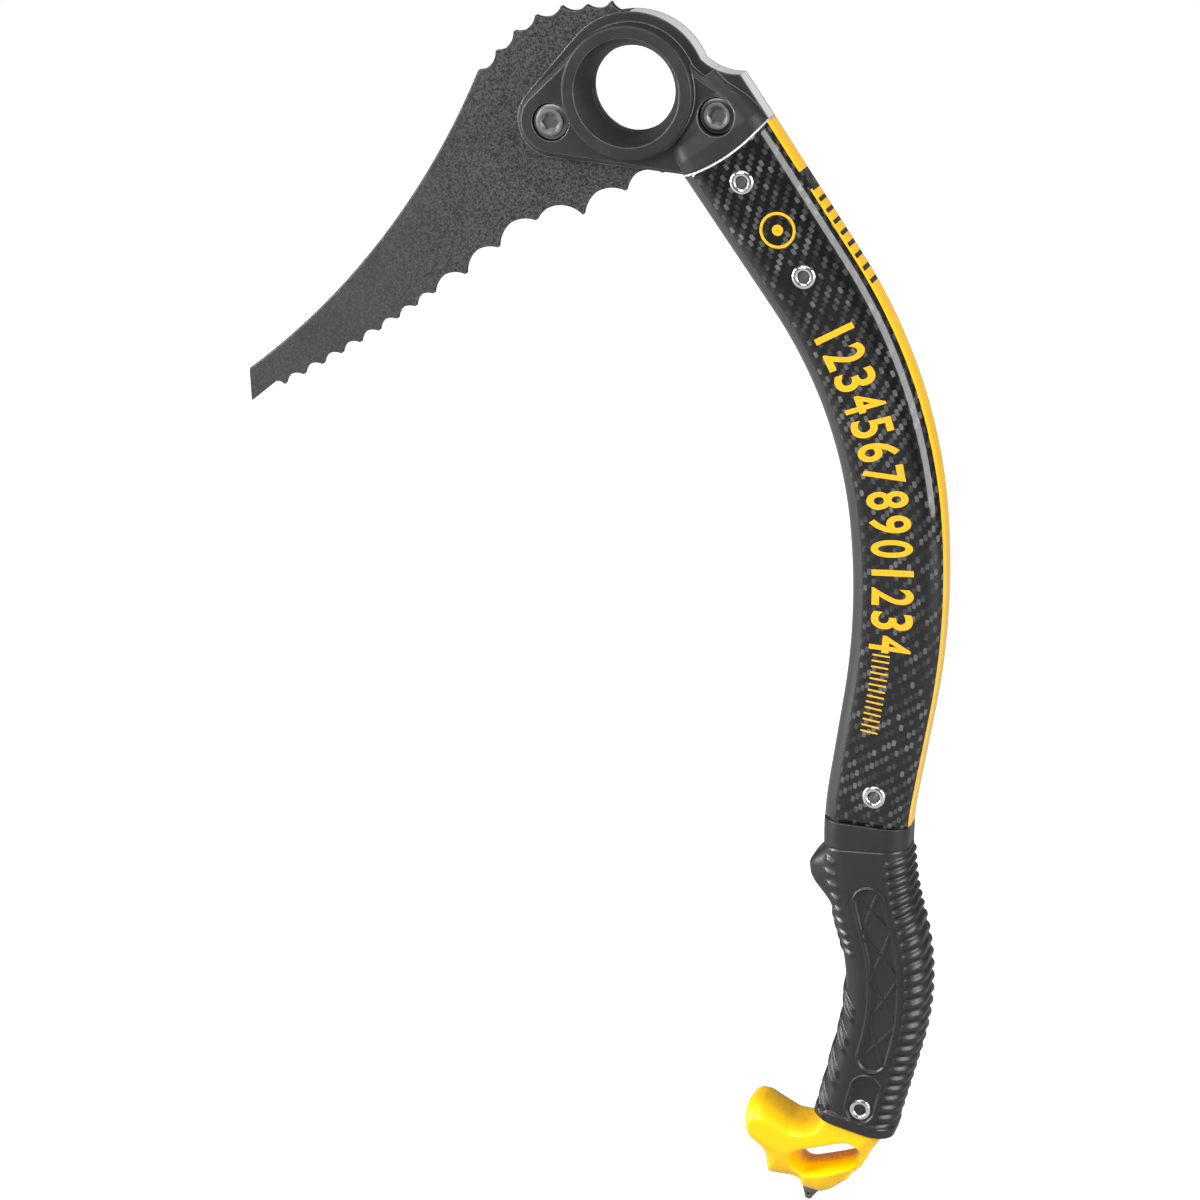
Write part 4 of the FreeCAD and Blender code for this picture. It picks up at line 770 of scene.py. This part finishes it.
gripRibs = {
    "outer": {"Pitch": 4.6 * mm, "Height": 1.0 * mm, "Width": 0.40, "First": 12.0 * mm, "Last": 128.5 * mm,
              "Slant": 0.12, "Reach": 17.0 * mm, "Side": 1.0},
    "innerTop": {"Pitch": 4.8 * mm, "Height": 0.8 * mm, "Width": 0.30, "First": 7.0 * mm, "Last": 50.0 * mm,
                 "Slant": 0.45, "Reach": 15.0 * mm, "Side": -1.0},
    "innerLow": {"Pitch": 15.5 * mm, "Height": 1.2 * mm, "Width": 0.10, "First": 62.0 * mm, "Last": 121.0 * mm,
                 "Slant": 0.85, "Reach": 15.0 * mm, "Side": -1.0},
    "innerLowPair": {"Pitch": 15.5 * mm, "Height": 1.2 * mm, "Width": 0.10, "First": 66.5 * mm,
                     "Last": 124.5 * mm, "Slant": 0.85, "Reach": 15.0 * mm, "Side": -1.0},
}
# panels on both faces: a raised border round a sunk field, the long one crossed by slanting lines
gripPanels = {
    "long": {"start": 26.5 * mm, "end": 107.6 * mm, "half": 6.1 * mm, "shift": 0.6 * mm, "ridge": 0.8 * mm,
             "thick": 0.5 * mm, "sunk": 0.5 * mm, "cross": 19.6 * mm},
    "low": {"start": 109.6 * mm, "end": 131.0 * mm, "half": 6.1 * mm, "shift": 1.8 * mm, "ridge": 0.8 * mm,
            "thick": 0.5 * mm, "sunk": 1.0 * mm, "cross": 0.0},
}
crossLines = {"leans": (-1.6, 1.6), "proud": 0.5 * mm, "half": (0.5 * mm, 1.3 * mm), "inFrom": 0.9 * mm}
panelFace = {"facing": 0.6, "softSide": 0.8 * mm}


def panelLift(panel, at, across):
    beside = across - panel["shift"]
    distance = stadiumDistance(at, beside, panel["start"], panel["end"], panel["half"])
    lift = panel["ridge"] * math.exp(-(distance / panel["thick"]) ** 2)
    lift -= panel["sunk"] * smoothStep(-distance, 0.0, panelFace["softSide"])
    if panel["cross"] and distance < -crossLines["inFrom"]:
        pitch = panel["cross"]
        places = [(at - panel["start"] + lean * beside) % pitch for lean in crossLines["leans"]]
        nearest = min(abs(place - pitch / 2) for place in places)
        lift += crossLines["proud"] * (1 - smoothStep(nearest, *crossLines["half"]))
    return lift


# finger stop, panels and lip, moved point by point before the ribs
def shapeGrip(made):
    shape = gripShape
    mesh = made.data
    total = len(mesh.vertices)
    along, fromInner, across = [0.0] * total, [0.0] * total, [0.0] * total
    outward = [0.0] * (3 * total)
    for name, values in (("along", along), ("fromInner", fromInner), ("across", across)):
        mesh.attributes[name].data.foreach_get("value", values)
    mesh.attributes["outward"].data.foreach_get("vector", outward)
    length = lineLength - gripTop
    for index, vertex in enumerate(mesh.vertices):
        at = along[index]
        if at < 0:
            continue
        way = Vector(outward[3 * index:3 * index + 3])
        lift = shape["lipProud"] * smoothStep(at - length, *shape["lipRise"])
        lift -= shape["grooveDeep"] * math.exp(-((at - shape["grooveAt"]) / shape["grooveHalf"]) ** 2)
        if abs(way.y) > panelFace["facing"]:
            lift += sum(panelLift(panel, at, across[index]) for panel in gripPanels.values())
        vertex.co += way * lift
        pastStop = at - shape["stopAt"]
        reach = (shape["stopReach"] * smoothStep(pastStop, *shape["stopRise"])
                 * (1 - smoothStep(pastStop, *shape["stopFall"]))
                 * (1 - smoothStep(fromInner[index], *shape["stopWidth"])))
        if reach > 0:
            lean = station(gripTop + at)[2]
            vertex.co += Vector((-math.cos(lean), 0, -math.sin(lean))) * reach


def makeGrip():
    made = makeGripSleeve()
    shapeGrip(made)
    tree = ribTree()
    for name, values in gripRibs.items():
        useTree(made, tree, values)
    made = plainMesh(made, "gripSleeve")
    keepInside(made)
    return made


grip = makeGrip()
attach(grip, "axe")
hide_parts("grip")
print("grip made", len(grip.data.polygons))

# pommel: the solid's own form, softened as a moulding is
pommelShape = {"weld": 0.002 * mm, "voxel": 0.45 * mm, "softness": 0.5, "softenings": 30}
backTeeth = {"low": (96.3 * mm, -454.0 * mm), "high": (110.2 * mm, -430.2 * mm)}
toothInputs = {"Pitch": 3.6 * mm, "Height": 1.9 * mm, "Deep": 2.6 * mm, "First": 0.5 * mm, "Last": 24.5 * mm,
               "Round": 2.2 * mm, "Corner": 9.0 * mm}
toothSoftness = {"deep": 1.5 * mm, "ends": 1.0 * mm}
cornerInward = (-0.41, 0.91)


# ridges across the back edge, told by each point's place along and beside that edge
def toothTree():
    tree, entry, leave = newTree("toothField", toothInputs)
    given = entry.outputs
    place = apartOf(tree, tree.nodes.new("GeometryNodeInputPosition").outputs[0])
    lowX, lowZ = backTeeth["low"]
    spanX, spanZ = (backTeeth["high"][axis] - backTeeth["low"][axis] for axis in (0, 1))
    span = math.hypot(spanX, spanZ)
    fromLowX = calc(tree, "SUBTRACT", place["X"], lowX)
    fromLowZ = calc(tree, "SUBTRACT", place["Z"], lowZ)
    up = calc(tree, "ADD", calc(tree, "MULTIPLY", fromLowX, spanX / span),
              calc(tree, "MULTIPLY", fromLowZ, spanZ / span))
    inside = calc(tree, "SUBTRACT", calc(tree, "MULTIPLY", fromLowZ, spanX / span),
                  calc(tree, "MULTIPLY", fromLowX, spanZ / span))
    phase = calc(tree, "FRACT", calc(tree, "DIVIDE", up, given["Pitch"]))
    valley = calc(tree, "MULTIPLY", calc(tree, "ABSOLUTE", calc(tree, "SUBTRACT", phase, 0.5)), -2.0)
    cut = product(tree, valley, given["Height"],
                  smoothPast(tree, inside, given["Deep"], toothSoftness["deep"], False),
                  smoothPast(tree, up, given["First"], toothSoftness["ends"], True),
                  smoothPast(tree, up, given["Last"], toothSoftness["ends"], False))
    toothMove = scaledBy(tree, tree.nodes.new("GeometryNodeInputNormal").outputs[0], cut)
    # the low corner is pushed in and so made rounder
    away = calc(tree, "SQRT", calc(tree, "ADD", product(tree, fromLowX, fromLowX),
                                   product(tree, fromLowZ, fromLowZ)))
    share = calc(tree, "MAXIMUM", calc(tree, "SUBTRACT", 1.0, calc(tree, "DIVIDE", away, given["Corner"])), 0.0)
    push = product(tree, share, given["Round"])
    inward = tree.nodes.new("ShaderNodeCombineXYZ")
    for label, part in zip(("X", "Z"), cornerInward):
        tree.links.new(calc(tree, "MULTIPLY", push, part), inward.inputs[label])
    both = tree.nodes.new("ShaderNodeVectorMath")
    tree.links.new(toothMove, both.inputs[0])
    tree.links.new(inward.outputs[0], both.inputs[1])
    finishTree(tree, moved(tree, given["Geometry"], both.outputs[0]), leave, pommelPlastic)
    return tree


def makePommel():
    made = addObject("pommelRest", nodes["pommel"].data.copy())
    weld = made.modifiers.new("weld", "WELD")
    weld.merge_threshold = pommelShape["weld"]
    remesh = made.modifiers.new("remesh", "REMESH")
    remesh.mode = "VOXEL"
    remesh.voxel_size = pommelShape["voxel"]
    remesh.use_smooth_shade = True
    soften = made.modifiers.new("soften", "SMOOTH")
    soften.factor = pommelShape["softness"]
    soften.iterations = pommelShape["softenings"]
    made = plainMesh(made, "pommelRest")
    made.data.materials.clear()
    made.data.materials.append(pommelPlastic)
    useTree(made, toothTree(), toothInputs)
    return plainMesh(made, "pommelRest")


pommel = makePommel()
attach(pommel, "axe")
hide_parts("pommel")
print("pommel made", len(pommel.data.polygons))

# depth scale: plain numbers and ticks printed on the front of the shaft
scaleMarks = {"start": 84.0 * mm, "pitch": 10.0 * mm, "count": 14, "height": 17.0 * mm, "width": 7.2 * mm,
              "across": -1.0 * mm, "thick": 0.06 * mm, "bold": 0.018, "oneShare": 0.35}


def shaftFace(at):
    return -blendedSection(shaftShape["top"], shaftShape["low"], at / gripTop)[1] / 2


# a digit lying on the shaft's front face, its top towards the outer edge
def printedDigit(text, at):
    data = bpy.data.curves.new("number" + text, "FONT")
    data.body = text
    data.align_x = "CENTER"
    data.align_y = "CENTER"
    data.offset = scaleMarks["bold"]
    data.fill_mode = "BOTH"
    data.extrude = 0.5
    made = plainMesh(addObject("number" + text, data), "scaleNumber" + text)
    lows, highs = ([pick(v.co[axis] for v in made.data.vertices) for axis in range(3)] for pick in (min, max))
    lean = station(at)[2]
    width = scaleMarks["width"] * (scaleMarks["oneShare"] if text == "1" else 1.0)
    ways = (Vector((math.sin(lean), 0, -math.cos(lean))) * width,
            Vector((math.cos(lean), 0, math.sin(lean))) * scaleMarks["height"],
            Vector((0, -1, 0)) * scaleMarks["thick"])
    middle = onLine(at, scaleMarks["across"], shaftFace(at))
    for vertex in made.data.vertices:
        shares = [(vertex.co[axis] - (lows[axis] + highs[axis]) / 2) / (highs[axis] - lows[axis])
                  for axis in range(3)]
        vertex.co = middle + sum((way * share for way, share in zip(ways, shares)), Vector())
    made.data.materials.clear()
    made.data.materials.append(yellowInk)
    return made


numbers = [printedDigit(str((count + 1) % 10), scaleMarks["start"] + count * scaleMarks["pitch"])
           for count in range(scaleMarks["count"])]


def joined(pieces, name):
    with bpy.context.temp_override(active_object=pieces[0], object=pieces[0], selected_objects=pieces,
                                   selected_editable_objects=pieces):
        bpy.ops.object.join()
    pieces[0].name = name
    pieces[0].data.name = name
    return pieces[0]


scaleNumbers = joined(numbers, "scaleNumbers")
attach(scaleNumbers, "axe")
print("numbers made", len(scaleNumbers.data.polygons))

# ticks below the numbers: bars set along a line on the shaft's face by a node tree
tickMarks = {"from": 219.0 * mm, "to": 252.0 * mm, "across": -4.2 * mm, "steps": 24}
tickInputs = {"Pitch": 2.5 * mm, "Wide": 0.7 * mm, "High": 7.0 * mm, "Thick": 0.06 * mm}


def tickTree():
    tree, entry, leave = newTree("tickField", tickInputs)
    lineCurve = tree.nodes.new("GeometryNodeMeshToCurve")
    tree.links.new(entry.outputs["Geometry"], lineCurve.inputs["Mesh"])
    spaced = tree.nodes.new("GeometryNodeResampleCurve")
    spaced.mode = "LENGTH"
    tree.links.new(lineCurve.outputs[0], spaced.inputs["Curve"])
    tree.links.new(entry.outputs["Pitch"], spaced.inputs["Length"])
    bar = tree.nodes.new("GeometryNodeMeshCube")
    barSize = tree.nodes.new("ShaderNodeCombineXYZ")
    for socket, label in enumerate(("Wide", "Thick", "High")):
        tree.links.new(entry.outputs[label], barSize.inputs[socket])
    tree.links.new(barSize.outputs[0], bar.inputs["Size"])
    turn = tree.nodes.new("FunctionNodeAlignRotationToVector")
    turn.axis = "X"
    tree.links.new(tree.nodes.new("GeometryNodeInputTangent").outputs[0], turn.inputs["Vector"])
    placed = tree.nodes.new("GeometryNodeInstanceOnPoints")
    tree.links.new(spaced.outputs[0], placed.inputs["Points"])
    tree.links.new(bar.outputs["Mesh"], placed.inputs["Instance"])
    tree.links.new(turn.outputs[0], placed.inputs["Rotation"])
    finishTree(tree, placed.outputs[0], leave, yellowInk)
    return tree


def makeTicks():
    steps = tickMarks["steps"]
    spots = []
    for step in range(steps + 1):
        at = tickMarks["from"] + (tickMarks["to"] - tickMarks["from"]) * step / steps
        spots.append(onLine(at, tickMarks["across"], shaftFace(at)))
    mesh = bpy.data.meshes.new("scaleTicks")
    mesh.from_pydata(spots, [(step, step + 1) for step in range(steps)], [])
    source = addObject("scaleTicks", mesh)
    useTree(source, tickTree(), tickInputs)
    return plainMesh(source, "scaleTicks")


scaleTicks = makeTicks()
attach(scaleTicks, "axe")
print("ticks made", len(scaleTicks.data.polygons))

# ring mark under the head: a plain ring with a dot
ringMark = {"at": 38.1 * mm, "across": 1.6 * mm, "ring": (6.1 * mm, 7.2 * mm), "dot": (0.3 * mm, 2.2 * mm),
            "thick": 0.06 * mm, "around": 64}


def flatRing(name, inner, outer):
    at, across, count = ringMark["at"], ringMark["across"], ringMark["around"]
    half = ringMark["thick"] / 2
    vertices, faces = [], []
    for column in range(count):
        angle = 2 * math.pi * column / count
        for radius in (inner, outer):
            for side in (-half, half):
                vertices.append(onLine(at, across + radius * math.cos(angle), shaftFace(at) + side,
                                       radius * math.sin(angle)))
        here, there = 4 * column, 4 * ((column + 1) % count)
        for one, two in ((0, 2), (2, 3), (3, 1), (1, 0)):
            faces.append((here + one, there + one, there + two, here + two))
    return newMesh(name, vertices, faces, yellowInk, smooth=False)


ringPieces = [flatRing("ringMark", *ringMark["ring"]), flatRing("ringDot", *ringMark["dot"])]
ringMarkPiece = joined(ringPieces, "ringMark")
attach(ringMarkPiece, "axe")
print("ring made", len(ringMarkPiece.data.polygons))

# light: soft lamps, with grey surroundings for the object and white ones for the camera
lampAim = (0.0, 0.0, -0.2)
lampSettings = {
    "leftSoft": {"place": (-1.2, -0.5, 0.1), "size": (0.22, 1.0), "power": 27.0},
    "rightSoft": {"place": (1.3, -0.5, 0.2), "size": (0.8, 1.2), "power": 22.0},
    "frontSoft": {"place": (-0.5, -1.6, 0.9), "size": (0.9, 0.7), "power": 17.0},
    "topSoft": {"place": (0.1, -0.3, 1.4), "size": (1.6, 1.2), "power": 8.0},
}
for name, settings in lampSettings.items():
    lampData = bpy.data.lights.new(name, "AREA")
    lampData.shape = "RECTANGLE"
    lampData.size, lampData.size_y = settings["size"]
    lampData.energy = settings["power"]
    lamp = addObject(name, lampData)
    lamp.location = settings["place"]
    toMiddle = Vector(lampAim) - lamp.location
    lamp.rotation_euler = toMiddle.to_track_quat("-Z", "Y").to_euler()

# floor: a plain pale sheet under the spike, near white to the camera and still shaded by the tool
floorSettings = {"half": 3.0, "below": 0.3 * mm, "tone": (0.45, 0.45, 0.45), "footX": 0.078,
                 "reach": (0.10, 0.50), "glow": (0.78, 1.0)}


# the node tree of a material or world, emptied
def emptyTree(owner):
    owner.use_nodes = True
    owner.node_tree.nodes.clear()
    return owner.node_tree


def makeFloorMaterial():
    material = bpy.data.materials.new("paleFloor")
    tree = emptyTree(material)
    matt = tree.nodes.new("ShaderNodeBsdfDiffuse")
    matt.inputs["Color"].default_value = (*floorSettings["tone"], 1.0)
    glow = tree.nodes.new("ShaderNodeEmission")
    path = tree.nodes.new("ShaderNodeLightPath")
    fromFoot = tree.nodes.new("ShaderNodeVectorMath")
    fromFoot.operation = "DISTANCE"
    tree.links.new(objectPlace(tree), fromFoot.inputs[0])
    fromFoot.inputs[1].default_value = (floorSettings["footX"], 0.0, cadBox[0][2])
    # the camera-only glow is weaker near the spike's foot, so the floor there is darker: painted shade round
    # the foot, over the real shadow
    level = ranged(tree, fromFoot.outputs["Value"], *floorSettings["reach"], *floorSettings["glow"], True)
    tree.links.new(calc(tree, "MULTIPLY", path.outputs["Is Camera Ray"], level), glow.inputs["Strength"])
    both = tree.nodes.new("ShaderNodeAddShader")
    leave = tree.nodes.new("ShaderNodeOutputMaterial")
    tree.links.new(matt.outputs[0], both.inputs[0])
    tree.links.new(glow.outputs[0], both.inputs[1])
    tree.links.new(both.outputs[0], leave.inputs["Surface"])
    return material


floorHalf = floorSettings["half"]
floorHeight = cadBox[0][2] - floorSettings["below"]
floorCorners = [(x * floorHalf, y * floorHalf, floorHeight) for x, y in ((-1, -1), (1, -1), (1, 1), (-1, 1))]
floor = newMesh("floor", floorCorners, [(0, 1, 2, 3)], makeFloorMaterial(), smooth=False)

worldLight = {"colour": (0.50, 0.50, 0.51), "strength": 0.36}


def makeStudioWorld():
    world = bpy.data.worlds.new("studio")
    bpy.context.scene.world = world
    tree = emptyTree(world)
    white = tree.nodes.new("ShaderNodeBackground")
    white.inputs["Color"].default_value = (1, 1, 1, 1)
    soft = tree.nodes.new("ShaderNodeBackground")
    soft.inputs["Color"].default_value = (*worldLight["colour"], 1)
    soft.inputs["Strength"].default_value = worldLight["strength"]
    choose = tree.nodes.new("ShaderNodeMixShader")
    leave = tree.nodes.new("ShaderNodeOutputWorld")
    tree.links.new(tree.nodes.new("ShaderNodeLightPath").outputs["Is Camera Ray"], choose.inputs[0])
    tree.links.new(soft.outputs[0], choose.inputs[1])
    tree.links.new(white.outputs[0], choose.inputs[2])
    tree.links.new(choose.outputs[0], leave.inputs[0])


makeStudioWorld()
print("light set")
